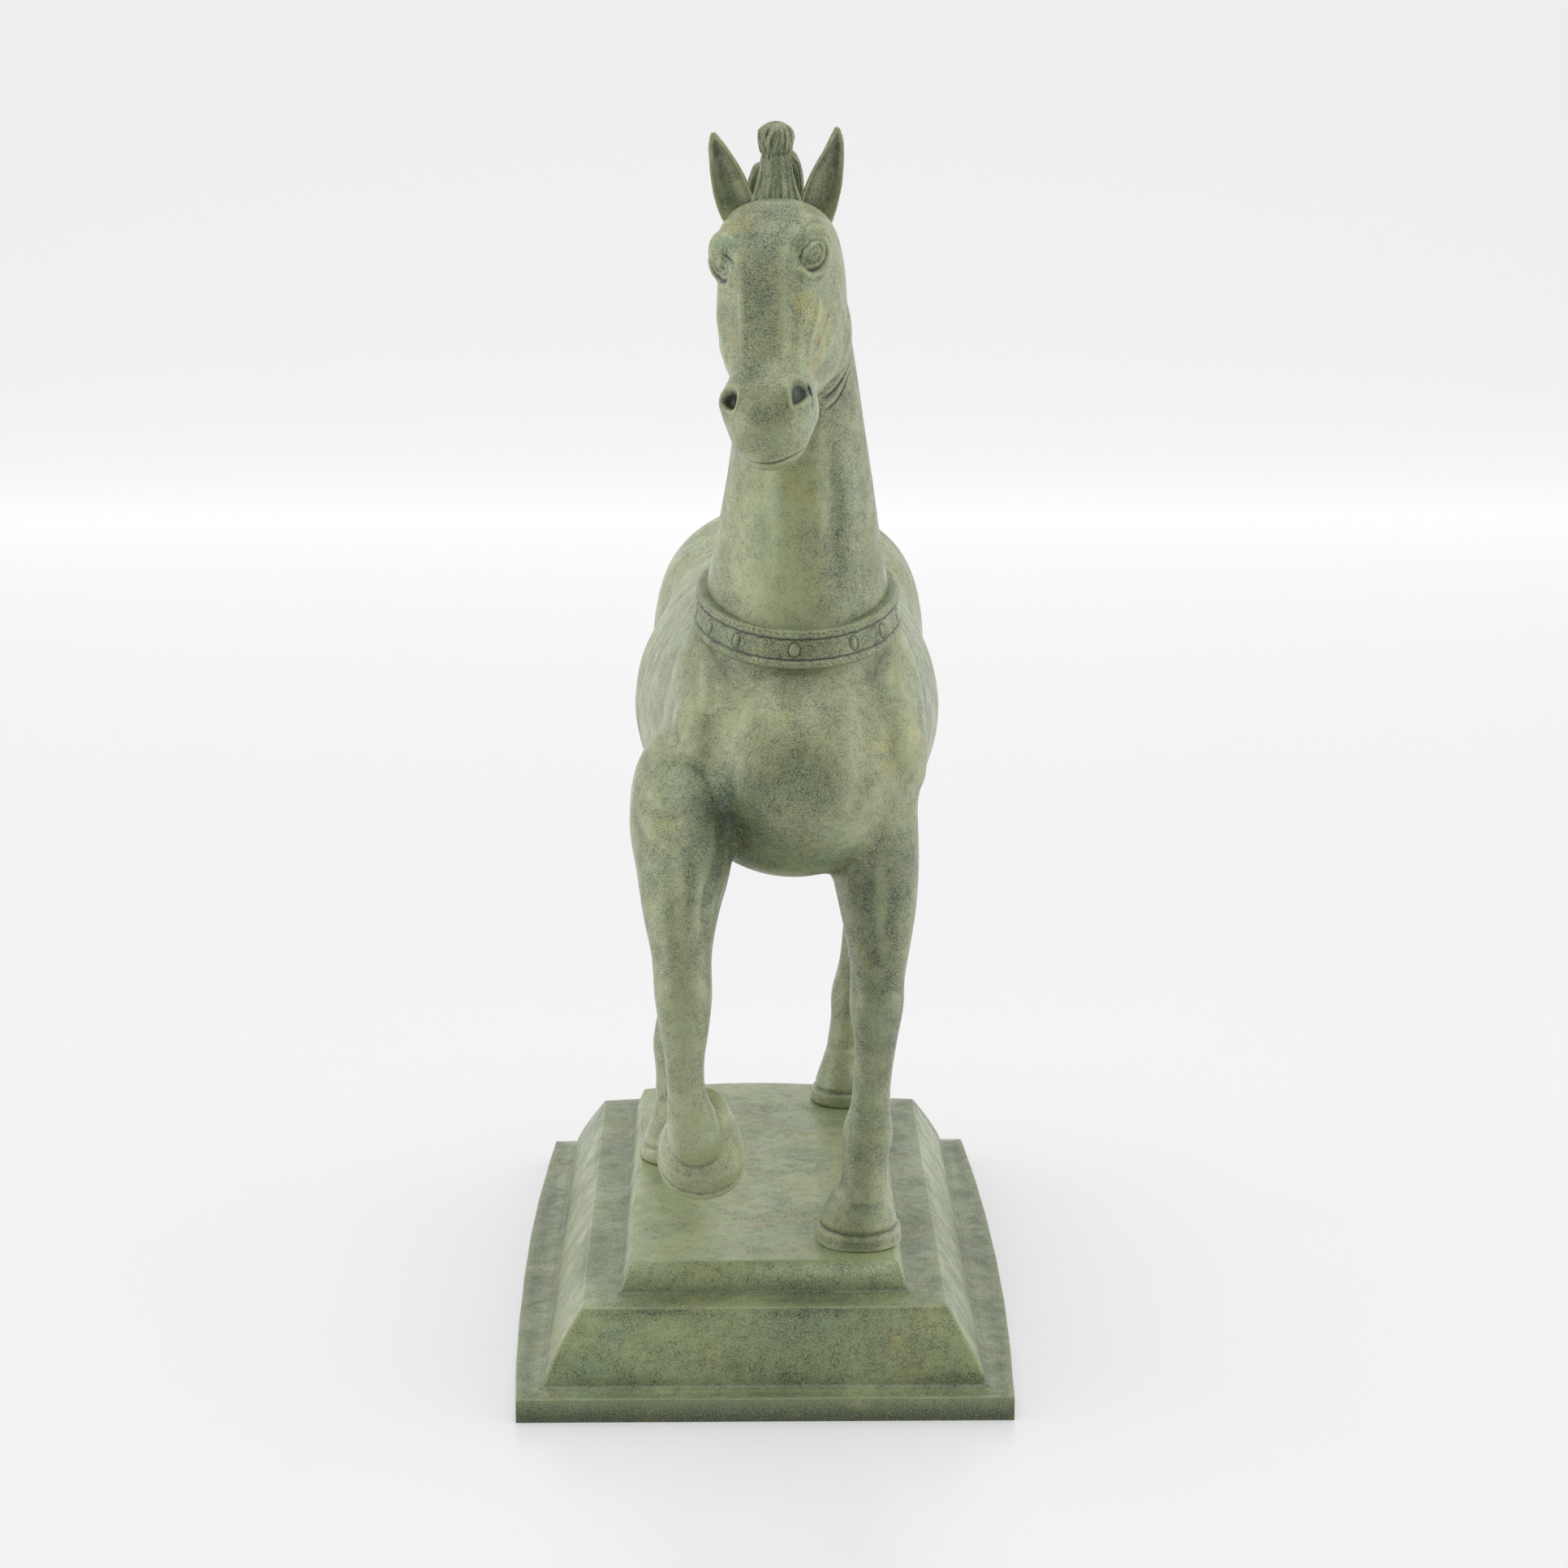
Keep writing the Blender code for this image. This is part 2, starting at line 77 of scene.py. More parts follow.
camera = bpy.data.objects.new("camera", bpy.data.cameras.new("camera"))
bpy.context.scene.collection.objects.link(camera)
camera.location = CAMERA_PLACE
camera.rotation_euler = (math.pi / 2 - LOOK_DOWN, 0.0, -LOOK_RIGHT)
camera.data.sensor_width = SENSOR_MM
camera.data.lens = LENS_MM
bpy.context.scene.camera = camera
print("camera looks down", round(math.degrees(LOOK_DOWN), 1), "degrees")


# %% Table, wall and lights
def plain_material(name, colour, roughness):
    material = bpy.data.materials.new(name)
    material.use_nodes = True
    shader = material.node_tree.nodes["Principled BSDF"]
    shader.inputs["Base Color"].default_value = (*colour, 1.0)
    shader.inputs["Roughness"].default_value = roughness
    return material


def show(name, mesh):
    """Puts a mesh into the scene as an object at the origin."""
    thing = bpy.data.objects.new(name, mesh)
    bpy.context.scene.collection.objects.link(thing)
    return thing


def sweep():
    """A table that curves up into a wall: a profile of two lines and an arc, carried along X.

    It glows a little, and more the further away it is, so that it stays evenly pale.
    """
    bend = np.linspace(0.0, math.pi / 2, 24)
    radius = 1.2
    depth = np.concatenate([[-3.0], 2.2 + radius * np.sin(bend), [2.2 + radius]])
    height = np.concatenate([[0.0], radius * (1.0 - np.cos(bend)), [5.0]])
    count = len(depth)
    sides = [np.stack([np.full(count, x), depth, height], axis=1) for x in (-8.0, 8.0)]
    points = np.concatenate(sides)
    step = np.arange(count - 1)
    faces = np.stack([step, step + count, step + count + 1, step + 1], axis=1)
    mesh = bpy.data.meshes.new("table and wall")
    mesh.from_pydata(points.tolist(), [], faces.tolist())
    mesh.shade_smooth()
    cloth = plain_material("pale table", (0.55, 0.55, 0.56), 0.30)
    nodes, links = cloth.node_tree.nodes, cloth.node_tree.links
    glow = nodes["Principled BSDF"].inputs
    glow["Emission Color"].default_value = (1.0, 1.0, 1.0, 1.0)
    away = nodes.new("ShaderNodeSeparateXYZ")
    further = nodes.new("ShaderNodeMapRange")
    for key, value in {"From Min": 0.6, "From Max": 3.2, "To Min": 0.29, "To Max": 0.58}.items():
        further.inputs[key].default_value = value
    links.new(nodes.new("ShaderNodeTexCoord").outputs["Object"], away.inputs[0])
    links.new(away.outputs["Y"], further.inputs["Value"])
    links.new(further.outputs["Result"], glow["Emission Strength"])
    mesh.materials.append(cloth)
    return show("table and wall", mesh)


def soft_light(name, place, aim, size, watts):
    """A square area light at `place`, turned to face `aim`."""
    data = bpy.data.lights.new(name, "AREA")
    data.shape = "RECTANGLE"
    data.size, data.size_y = size
    data.energy = watts
    light = bpy.data.objects.new(name, data)
    bpy.context.scene.collection.objects.link(light)
    light.location = place
    direction = np.array(aim) - np.array(place)
    flat = math.hypot(direction[0], direction[1])
    light.rotation_euler = (math.atan2(flat, -direction[2]), 0.0, math.atan2(-direction[0], direction[1]))
    return light


sweep()
soft_light("left wall of light", (-1.35, -0.25, 0.6), (0.0, 0.0, 0.25), (1.9, 1.6), 10.0)
soft_light("right wall of light", (1.35, -0.25, 0.6), (0.0, 0.0, 0.25), (1.9, 1.6), 10.0)
soft_light("overhead", (0.0, -0.2, 1.9), (0.0, 0.0, 0.2), (1.8, 1.8), 17.0)


def dim_room():
    """A white world that is dimmer behind the camera: its strength follows the direction's Y."""
    world = bpy.data.worlds.new("studio")
    world.use_nodes = True
    nodes, links = world.node_tree.nodes, world.node_tree.links
    way = nodes.new("ShaderNodeSeparateXYZ")
    strength = nodes.new("ShaderNodeMapRange")
    strength.interpolation_type = "SMOOTHSTEP"
    for key, value in {"From Min": -0.9, "From Max": 0.2, "To Min": 0.17, "To Max": 0.52}.items():
        strength.inputs[key].default_value = value
    links.new(nodes.new("ShaderNodeTexCoord").outputs["Generated"], way.inputs[0])
    links.new(way.outputs["Y"], strength.inputs["Value"])
    links.new(strength.outputs["Result"], nodes["Background"].inputs["Strength"])
    nodes["Background"].inputs["Color"].default_value = (1.0, 1.0, 1.0, 1.0)
    bpy.context.scene.world = world


dim_room()
bpy.context.scene.view_settings.view_transform = "Standard"
print("stage set")

# %% [markdown]
# ## Tubes, the sculptor's rolls of clay
#
# A founder's model starts as rolls of clay over a wire: one for the barrel, one for the
# neck, one for each leg. Each roll here is a surface of two parameters, how far along the
# roll and how far round it. A smooth curve goes through a few named stations, and at each
# point of the curve stands a ring whose two half sizes are carried by the same curve.


# %% Curves and tubes
def unit(vectors):
    return vectors / np.linalg.norm(vectors, axis=-1, keepdims=True)


def smooth_rows(rows, share):
    """Rows read from a smooth curve at shares of its length, 0 at one end and 1 at the other.

    Between two rows the curve is a cubic whose slopes at the rows are the slopes of the
    parabola through each row and its neighbours; lengths come from the first 3 columns.
    """
    rows = np.asarray(rows, dtype=float)
    steps = np.linalg.norm(np.diff(rows[:, :3], axis=0), axis=1)
    reach = np.concatenate([[0.0], np.cumsum(steps)])
    slope = np.gradient(rows, reach, axis=0)
    at = reach[-1] * np.asarray(share, dtype=float)
    span = np.clip(np.searchsorted(reach, at, side="right") - 1, 0, len(reach) - 2)
    width = (reach[span + 1] - reach[span])[:, None]
    u = (at - reach[span])[:, None] / width
    path = (
        (2 * u**3 - 3 * u**2 + 1) * rows[span]
        + (u**3 - 2 * u**2 + u) * width * slope[span]
        + (3 * u**2 - 2 * u**3) * rows[span + 1]
        + (u**3 - u**2) * width * slope[span + 1]
    )
    return path, at, reach[-1]


def ring_faces(rings, around):
    """Triangles between neighbouring rings, and a fan round a pole that closes each end."""
    ring = np.arange(rings - 1)[:, None] * around
    step = np.arange(around)[None, :]
    after = (step + 1) % around
    corners = [ring + step, ring + after, ring + around + after, ring + around + step]
    halves = [np.stack([corners[0], corners[k], corners[k + 1]], axis=-1).reshape(-1, 3) for k in (1, 2)]
    step, after = step[0], after[0]
    first = rings * around
    top = (rings - 1) * around
    start_fan = np.stack([np.full(around, first), after, step], axis=1)
    end_fan = np.stack([np.full(around, first + 1), top + step, top + after], axis=1)
    return np.concatenate([*halves, start_fan, end_fan])


def boxy(value, power):
    """A sine or cosine with its size raised to a power and its sign kept."""
    return np.sign(value) * np.abs(value) ** power


def tube(rows, side=(1.0, 0.0, 0.0), caps=(8.0, 8.0), squareness=2.0, egg=0.0, facing=None,
         around=64, count=90, relief=None):
    """A closed tube through rows of x, y, z, half width, half depth and, if given, squareness.

    Each ring is a superellipse: cosine and sine of the turn, raised to 2 / squareness. A
    cap is a dome: both half sizes shrink as the square root of 1 - (1 - distance)^2.
    `egg` makes the deep side of a ring the wider one, `facing` sets all rings parallel,
    and `relief` adds to the radius a function of the share along and the turn around.
    """
    if len(rows[0]) == 5:
        rows = [(*row, squareness) for row in rows]
    share = 0.5 * (1.0 - np.cos(np.pi * (np.arange(count) + 0.35) / (count - 0.3)))
    path, at, length = smooth_rows(rows, share)
    along = unit(np.gradient(path[:, :3], axis=0))
    if facing is not None:
        along = np.tile(np.asarray(facing, dtype=float), (count, 1))
    side = np.asarray(side, dtype=float)
    across = unit(side - along * (along @ side)[:, None])
    deep = np.cross(along, across)
    start = np.clip(at / caps[0], 0.0, 1.0)
    end = np.clip((length - at) / caps[1], 0.0, 1.0)
    dome = np.sqrt(1.0 - (1.0 - start) ** 2) * np.sqrt(1.0 - (1.0 - end) ** 2)
    turn = np.arange(around) * 2.0 * np.pi / around
    power = 2.0 / path[:, 5:6]
    cosine, sine = boxy(np.cos(turn), power), boxy(np.sin(turn), power)
    wide = (path[:, 3] * dome)[:, None] * cosine * (1.0 + egg * sine)
    tall = (path[:, 4] * dome)[:, None] * sine
    if relief is not None:
        extra = relief(share[:, None], turn[None, :]) * dome[:, None]
        wide = wide + extra * np.cos(turn)
        tall = tall + extra * np.sin(turn)
    rings = path[:, None, :3] + wide[..., None] * across[:, None] + tall[..., None] * deep[:, None]
    ends = np.array([rows[0][:3], rows[-1][:3]], dtype=float)
    return np.concatenate([rings.reshape(-1, 3), ends]), ring_faces(count, around)


def ball(centre, sizes, side=(1.0, 0.0, 0.0), along=(0.0, 0.0, 1.0)):
    """An egg-shaped lump of clay: half sizes across, deep and along."""
    centre = np.asarray(centre, dtype=float)
    reach = unit(np.asarray(along, dtype=float)) * sizes[2]
    rows = [(*(centre + reach * step), sizes[0], sizes[1]) for step in (-1.0, -0.5, 0.0, 0.5, 1.0)]
    return tube(rows, side=side, caps=(sizes[2], sizes[2]), around=36, count=30)


def new_mesh(name, shapes):
    """One mesh from closed shapes given in millimetres."""
    points = np.concatenate([shape[0] for shape in shapes]) * MM
    first = np.cumsum([0] + [len(shape[0]) for shape in shapes])
    faces = np.concatenate([start + shape[1] for start, shape in zip(first, shapes)])
    mesh = bpy.data.meshes.new(name)
    mesh.from_pydata(points.tolist(), [], faces.tolist())
    return mesh


print("a test tube has", len(tube([(0, 0, 0, 5, 5), (0, 0, 9, 4, 4), (0, 0, 20, 3, 3)])[0]), "points")

# %% [markdown]
# ## A skin to sculpt
#
# Rolls of clay pressed together have creases between them. A voxel remesh makes one skin
# of them, and then the skin is worked like clay, with whole arrays at a time: creases are
# filled where a point lies below the mean of its neighbours, bumps are rubbed down, and
# lumps and grooves are pushed along the surface's own normals.


# %% The skin and its tools
def settle(thing):
    """Makes the result of an object's modifiers its own mesh."""
    bpy.context.view_layer.update()
    evaluated = thing.evaluated_get(bpy.context.evaluated_depsgraph_get())
    mesh = bpy.data.meshes.new_from_object(evaluated)
    thing.modifiers.clear()
    thing.data = mesh
    return mesh


def grown(name, shapes, grain):
    """An object whose mesh is the union of closed shapes, remeshed at a grain in mm."""
    rough = new_mesh(name + " rough", shapes)
    thing = show(name, rough)
    remesh = thing.modifiers.new("grow together", "REMESH")
    remesh.mode = "VOXEL"
    remesh.voxel_size = grain * MM
    mesh = settle(thing)
    mesh.name = name
    bpy.data.meshes.remove(rough)
    return thing


class Skin:
    """A mesh being sculpted: points and normals in mm as arrays, and its edges."""

    def __init__(self, thing):
        self.thing = thing
        mesh = thing.data
        flat = np.empty(len(mesh.vertices) * 3, dtype=np.float32)
        mesh.vertices.foreach_get("co", flat)
        self.points = flat.reshape(-1, 3).astype(float) / MM
        ends = np.empty(len(mesh.edges) * 2, dtype=np.int32)
        mesh.edges.foreach_get("vertices", ends)
        self.edges = ends.reshape(-1, 2)
        self.valence = np.bincount(ends, minlength=len(self.points)).astype(float)
        self.refresh()

    def refresh(self):
        """Writes the points back to the mesh and reads its normals."""
        mesh = self.thing.data
        mesh.vertices.foreach_set("co", (self.points * MM).astype(np.float32).ravel())
        mesh.update()
        flat = np.empty(len(mesh.vertices) * 3, dtype=np.float32)
        mesh.vertex_normals.foreach_get("vector", flat)
        self.normals = flat.reshape(-1, 3).astype(float)

    def neighbours_mean(self, values):
        """The mean of the values at the far ends of each point's edges."""
        one, other = self.edges[:, 0], self.edges[:, 1]
        columns = values.reshape(len(values), -1)
        total = [
            np.bincount(one, weights=column[other], minlength=len(values))
            + np.bincount(other, weights=column[one], minlength=len(values))
            for column in columns.T
        ]
        mean = np.stack(total, axis=1) / self.valence[:, None]
        return mean.reshape(values.shape)

    def soften(self, share=1.0, passes=4):
        """Rubs down bumps without shrinking: a step towards the neighbours, then one back."""
        share = np.broadcast_to(share, len(self.points))[:, None]
        for _ in range(passes):
            for step in (0.5, -0.52):
                self.points += step * share * (self.neighbours_mean(self.points) - self.points)
        self.refresh()

    def fill_creases(self, passes, share=1.0):
        """Raises only the points that lie below their neighbours, so creases become fillets."""
        share = np.broadcast_to(share, len(self.points))
        for step in range(passes):
            lift = self.neighbours_mean(self.points) - self.points
            rise = np.maximum(0.0, np.sum(lift * self.normals, axis=1)) * share
            self.points += 0.9 * rise[:, None] * self.normals
            if step % 10 == 9:
                self.refresh()
        self.refresh()

    def push(self, amount):
        """Moves every point along its normal by an amount in mm."""
        self.points += amount[:, None] * self.normals
        self.refresh()

    def hollowness(self, passes=3):
        """How far each point lies below its neighbours, in mm, averaged a little."""
        lift = self.neighbours_mean(self.points) - self.points
        value = np.sum(lift * self.normals, axis=1)
        for _ in range(passes):
            value = 0.5 * value + 0.5 * self.neighbours_mean(value)
        return value


def blob(points, centre, sizes, axes=None):
    """A soft lump: e to the minus square of the distance, in sizes along three axes."""
    local = points - np.asarray(centre, dtype=float)
    if axes is not None:
        local = local @ np.asarray(axes, dtype=float).T
    return np.exp(-np.sum((local / np.asarray(sizes, dtype=float)) ** 2, axis=1))


def stroke(points, route, width, taper=True):
    """A soft line: e to the minus square of the distance to a curve, in widths.

    The curve is smooth through its route, and the line fades out at both ends.
    """
    path, at, length = smooth_rows(route, np.linspace(0.0, 1.0, 48))
    low, high = path.min(axis=0) - 3.0 * width, path.max(axis=0) + 3.0 * width
    near = np.flatnonzero(np.all((points > low) & (points < high), axis=1))
    result = np.zeros(len(points))
    if len(near) == 0:
        return result
    here = points[near]
    closest = np.linalg.norm(here[:, None, :] - path[None, :, :], axis=2).argmin(axis=1)
    best = np.full(len(near), np.inf)
    share = np.zeros(len(near))
    for shift in (-1, 0):
        first = np.clip(closest + shift, 0, len(path) - 2)
        run = path[first + 1] - path[first]
        part = np.clip(np.sum((here - path[first]) * run, axis=1) / np.sum(run * run, axis=1), 0.0, 1.0)
        gap = np.linalg.norm(here - path[first] - part[:, None] * run, axis=1)
        nearer = gap < best
        best = np.where(nearer, gap, best)
        share = np.where(nearer, (at[first] + part * (at[first + 1] - at[first])) / length, share)
    value = np.exp(-((best / width) ** 2))
    if taper:
        value = value * np.clip(np.minimum(share, 1.0 - share) / 0.2, 0.0, 1.0) ** 0.7
    result[near] = value
    return result


def step_up(value, low, high):
    """A smooth step: 0 below `low`, 1 above `high`, 3t^2 - 2t^3 between."""
    part = np.clip((value - low) / (high - low), 0.0, 1.0)
    return part * part * (3.0 - 2.0 * part)


print("sculpting tools ready")

# %% [markdown]
# ## The barrel and the legs
#
# On the real bronze the body, the neck and the head are one hollow casting, poured over
# a core. A founder whose mould is too small would part it at the collar, where a seam is
# hidden, and so does this file: the body is one skin and the head with the neck another,
# and both stop under the collar's band. The rolls of clay follow the stations of the
# measured model, with a rounder breast, so the shape stays where the frame says.

# %% Barrel, shoulders and the foot of the neck
TRUNK_X = 11.0


def trunk():
    """The barrel, from the chest to the buttocks: x, y, z, half width, half height."""
    rows = [
        (TRUNK_X, -130, 224, 8, 8, 2.0),
        (TRUNK_X, -127, 224, 15, 14.5, 2.0),
        (TRUNK_X, -121, 224.5, 23.5, 23, 2.0),
        (TRUNK_X, -112, 225, 32, 32, 2.0),
        (TRUNK_X, -98, 226, 39.8, 40.5, 2.0),
        (TRUNK_X, -70, 233, 46, 51, 2.0),
        (TRUNK_X, -25, 232, 54, 56, 2.0),
        (TRUNK_X - 1, 20, 230, 58.0, 56, 2.0),
        (TRUNK_X, 60, 238, 54, 52, 2.2),
        (TRUNK_X + 1, 90, 246, 52.5, 47, 2.6),
        (TRUNK_X + 1, 116, 250, 41, 39, 2.3),
        (TRUNK_X, 133, 250, 24, 25, 2.0),
    ]
    return tube(rows, caps=(3, 14), egg=0.05, facing=(0.0, 1.0, 0.0), around=160, count=160)


def neck():
    """The upright neck, from deep in the trunk to the poll."""
    rows = [
        (11, -58, 236, 38, 52),
        (12, -60, 258, 37, 49),
        (12.7, -61, 279, 34, 43.5),
        (13.0, -63, 300, 30, 38),
        (13.4, -64, 324, 26, 33),
        (13.2, -64, 339, 23.8, 30),
        (12.6, -63.5, 355, 22, 27.5),
        (10.8, -66, 380, 19.5, 23.5),
        (8, -73, 400, 17.5, 20),
        (6.5, -81, 414, 15, 15),
    ]
    return tube(rows, caps=(12, 12), around=160, count=200)


def shoulders():
    """The flat muscles over the shoulder blades, the right one carried forward."""
    made = []
    for hand, reach in ((1, 0.0), (-1, -6.0)):
        rows = [
            (TRUNK_X + 1 + hand * 25, -46, 270, 8, 16),
            (TRUNK_X + 1 + hand * 31, -62, 254, 12, 23),
            (TRUNK_X + 1 + hand * 31.5, -82 + reach * 0.5, 232, 15.2, 27),
            (TRUNK_X + hand * 30.5, -94 + reach, 212, 15.6, 22),
        ]
        made.append(tube(rows, caps=(10, 12), around=80, count=70))
    return made


# %% Legs and hooves
def hoof(sole, up=(0.0, 0.0, 1.0), toe=(0.0, -1.0, 0.0), half_width=15.4, below=0.0, lean=-1.0):
    """A hoof: rows of shift, height, half width and half length; `lean` turns the shift toe-wards."""
    sole, up, toe = (np.asarray(value, dtype=float) for value in (sole, up, toe))
    across = np.cross(toe, up)
    size = half_width / 15.4
    shape = [
        (5.0, 25.0, 8.0, 9.6),
        (4.6, 20.0, 9.4, 11.2),
        (3.8, 15.5, 11.0, 12.8),
        (2.4, 10.5, 12.9, 14.8),
        (1.0, 6.5, 14.3, 16.3),
        (0.0, 3.5, 15.1, 17.1),
        (0.0, -below, 15.3, 17.3),
    ]
    rows = [
        (*(sole + size * (lean * shift * toe + height * up)), size * wide, size * long)
        for shift, height, wide, long in shape
    ]
    return tube(rows, side=across, caps=(4.0, 0.9), squareness=2.2, around=100, count=70)


def limb(rows, caps=(10, 5)):
    return tube(rows, caps=caps, around=90, count=220)


RAISED_UP = unit(np.array([0.0, -0.71, 0.70]))
RAISED_TOE = unit(np.array([0.0, -0.70, -0.71]))
HOOVES = [
    dict(sole=(35.0, -83.0, PLATE_TOP), below=4.0, half_width=15.4, lean=1.1),
    dict(sole=(36.4, 93.0, PLATE_TOP), below=4.0, half_width=14.6),
    dict(sole=(-32.5, 18.0, PLATE_TOP), below=4.0, half_width=15.0),
    dict(sole=(-22.2, -116.5, 88.0), up=RAISED_UP, toe=RAISED_TOE, half_width=15.9),
]


def legs():
    """The four legs: x, y, z, half width, half depth, from inside the barrel to the pastern."""
    planted_fore = [
        (43.0, -84, 226, 12.5, 24),
        (41.0, -84, 206, 14.6, 23),
        (40.4, -84, 188, 15.8, 20.5),
        (41.4, -85, 173, 14.2, 17),
        (41.8, -86, 158, 11.6, 13.5),
        (41.4, -87, 146, 9.9, 11.6),
        (41.0, -88, 134, 9.7, 11.6),
        (40.8, -87.5, 122, 7.8, 10.0),
        (39.8, -86.5, 109, 7.0, 8.8),
        (39.0, -86, 96, 7.3, 9.2),
        (38.1, -86, 86, 9.2, 11.0),
        (37.3, -87.5, 78, 8.5, 10.2),
        (36.8, -89.5, 70, 8.2, 10.0),
        (36.0, -89.5, 60, 9.0, 11.0),
    ]
    raised_fore = [
        (-19, -76, 232, 14, 22),
        (-26, -86, 219, 19, 25),
        (-28.2, -101, 207, 19.2, 23),
        (-28.3, -118, 194, 16.6, 19),
        (-29, -133, 181, 13.2, 14.5),
        (-28.6, -143, 168, 10.4, 12.0),
        (-28, -149.0, 154, 9.8, 11.4),
        (-27.8, -149.5, 143, 8.4, 10.2),
        (-27.7, -147, 132, 6.8, 8.6),
        (-27.2, -144, 120, 6.7, 8.6),
        (-25.6, -140.5, 109, 8.6, 10.4),
        (-24.6, -137, 102, 9.2, 10.4),
        (-23.4, -130, 98, 9.0, 9.8),
        (-22.6, -124, 94, 9.4, 10.0),
    ]
    left_hind = [
        (40, 86, 268, 15, 27),
        (45, 90, 246, 19.5, 36),
        (46.5, 91, 222, 20, 37),
        (46.5, 92, 203, 18, 30),
        (46.5, 99, 188, 15, 22),
        (46.8, 108, 174, 12.4, 16.5),
        (46.8, 118, 161, 10.8, 13.5),
        (46.2, 125, 150, 10.4, 13.5),
        (45.2, 126, 139, 9.3, 11.5),
        (43.9, 123, 126, 7.6, 9.0),
        (42.6, 119.5, 112, 7.3, 8.7),
        (41.0, 115.5, 96, 7.6, 9.0),
        (39.6, 112, 84, 9.3, 11.0),
        (38.6, 107, 75, 8.6, 9.8),
        (37.6, 101, 67, 9.0, 10.5),
        (37.0, 98, 60, 9.4, 11.0),
    ]
    right_hind = [
        (-16, 84, 268, 15, 27),
        (-21, 84, 246, 19.5, 36),
        (-23, 79, 222, 20, 37),
        (-25, 73, 203, 18, 30),
        (-27.5, 69, 188, 15, 22.5),
        (-29, 67, 174, 12.6, 16.5),
        (-30.4, 67, 161, 10.8, 13.5),
        (-31, 66.5, 150, 10.4, 13.5),
        (-31.6, 62, 139, 9.6, 11.8),
        (-32.3, 56, 126, 7.8, 9.2),
        (-32.8, 50.5, 112, 7.4, 8.8),
        (-33.3, 44.5, 97, 7.6, 9.2),
        (-33.5, 39, 84, 9.4, 11.0),
        (-33.2, 33, 75, 8.6, 9.8),
        (-32.8, 27, 67, 9.0, 10.5),
        (-32.6, 23, 60, 9.4, 11.0),
    ]
    fore_legs = [limb(planted_fore), limb(raised_fore)]
    return fore_legs + [limb(left_hind, caps=(12, 5)), limb(right_hind, caps=(12, 5))]


# %% Grow the body and fill its creases
BODY_GRAIN = 0.95
SKIN_TRIANGLES = 190000
hooves = [hoof(**size) for size in HOOVES]
body = grown("horse_body", [trunk(), neck(), *shoulders(), *legs(), *hooves], BODY_GRAIN)
clay = Skin(body)
low_legs = 1.0 - step_up(clay.points[:, 2], 80.0, 120.0)
raised_hoof = blob(clay.points, HOOVES[3]["sole"], (26, 26, 26))
clay.fill_creases(46, share=(1.0 - 0.85 * low_legs) * (1.0 - 0.8 * raised_hoof))
clay.soften(passes=6)
print("body skin:", len(clay.points), "points")


# %% [markdown]
# ### Muscles, tendons and folds
#
# The maker of this horse drew the muscles as soft, separate masses with shallow furrows
# between them, and cut the folds of skin where a leg meets the chest. Each one is a lump
# or a furrow on a smooth route, laid on the skin from the side that it is seen from. They
# are spaced and sized as on a real horse, but calmer than life.

# %% Laying routes on a skin
def laid(skin, route, toward):
    """Route points moved along one direction onto the skin's outermost point there.

    Of the points that lie near the line through a route point, the one furthest along
    `toward` is on the side that faces the viewer.
    """
    toward = unit(np.asarray(toward, dtype=float))
    found = []
    for spot in np.asarray(route, dtype=float):
        local = skin.points - spot
        reach = local @ toward
        aside = np.linalg.norm(local - reach[:, None] * toward, axis=1)
        near = aside < max(1.1, aside.min() * 1.5)
        found.append(skin.points[near][reach[near].argmax()])
    return np.array(found)


def draw(skin, line, width, height, bank):
    """A ridge (height above 0), or a furrow (below 0) with a low bank of clay on both sides."""
    mark = stroke(skin.points, line, width)
    swell = stroke(skin.points, line, 2.4 * width) - mark if height < 0.0 else 0.0
    skin.push(height * mark - bank * height * swell)


def furrow(skin, route, toward, width, depth, bank=0.15):
    """A groove along a laid route."""
    draw(skin, laid(skin, route, toward), width, -depth, bank)


FRONT, BACK, LEFT, RIGHT, ABOVE = (0, -1, 0), (0, 1, 0), (1, 0, 0), (-1, 0, 0), (0, 0, 1)


def chest(skin):
    """Two breast muscles with a furrow between them, and the points of the shoulders."""
    place = skin.points
    skin.push(
        1.2 * blob(place, (-4, -122, 236), (13, 14, 19))
        + 1.0 * blob(place, (27, -122, 238), (13, 14, 20))
        + 2.2 * blob(place, (46, -104, 232), (11, 13, 14))
        + 1.6 * blob(place, (-24, -108, 246), (10, 13, 12))
    )
    furrow(skin, [(12, 0, 264), (12.5, 0, 250), (12, 0, 232), (10, 0, 214), (8, 0, 200)], FRONT, 5.0, 0.5)
    furrow(skin, [(-8, 0, 252), (-13, 0, 238), (-14, 0, 222), (-8, 0, 206)], FRONT, 4.1, 0.8)
    furrow(skin, [(33, 0, 256), (36, 0, 240), (35, 0, 222), (30, 0, 206)], FRONT, 4.1, 0.75)


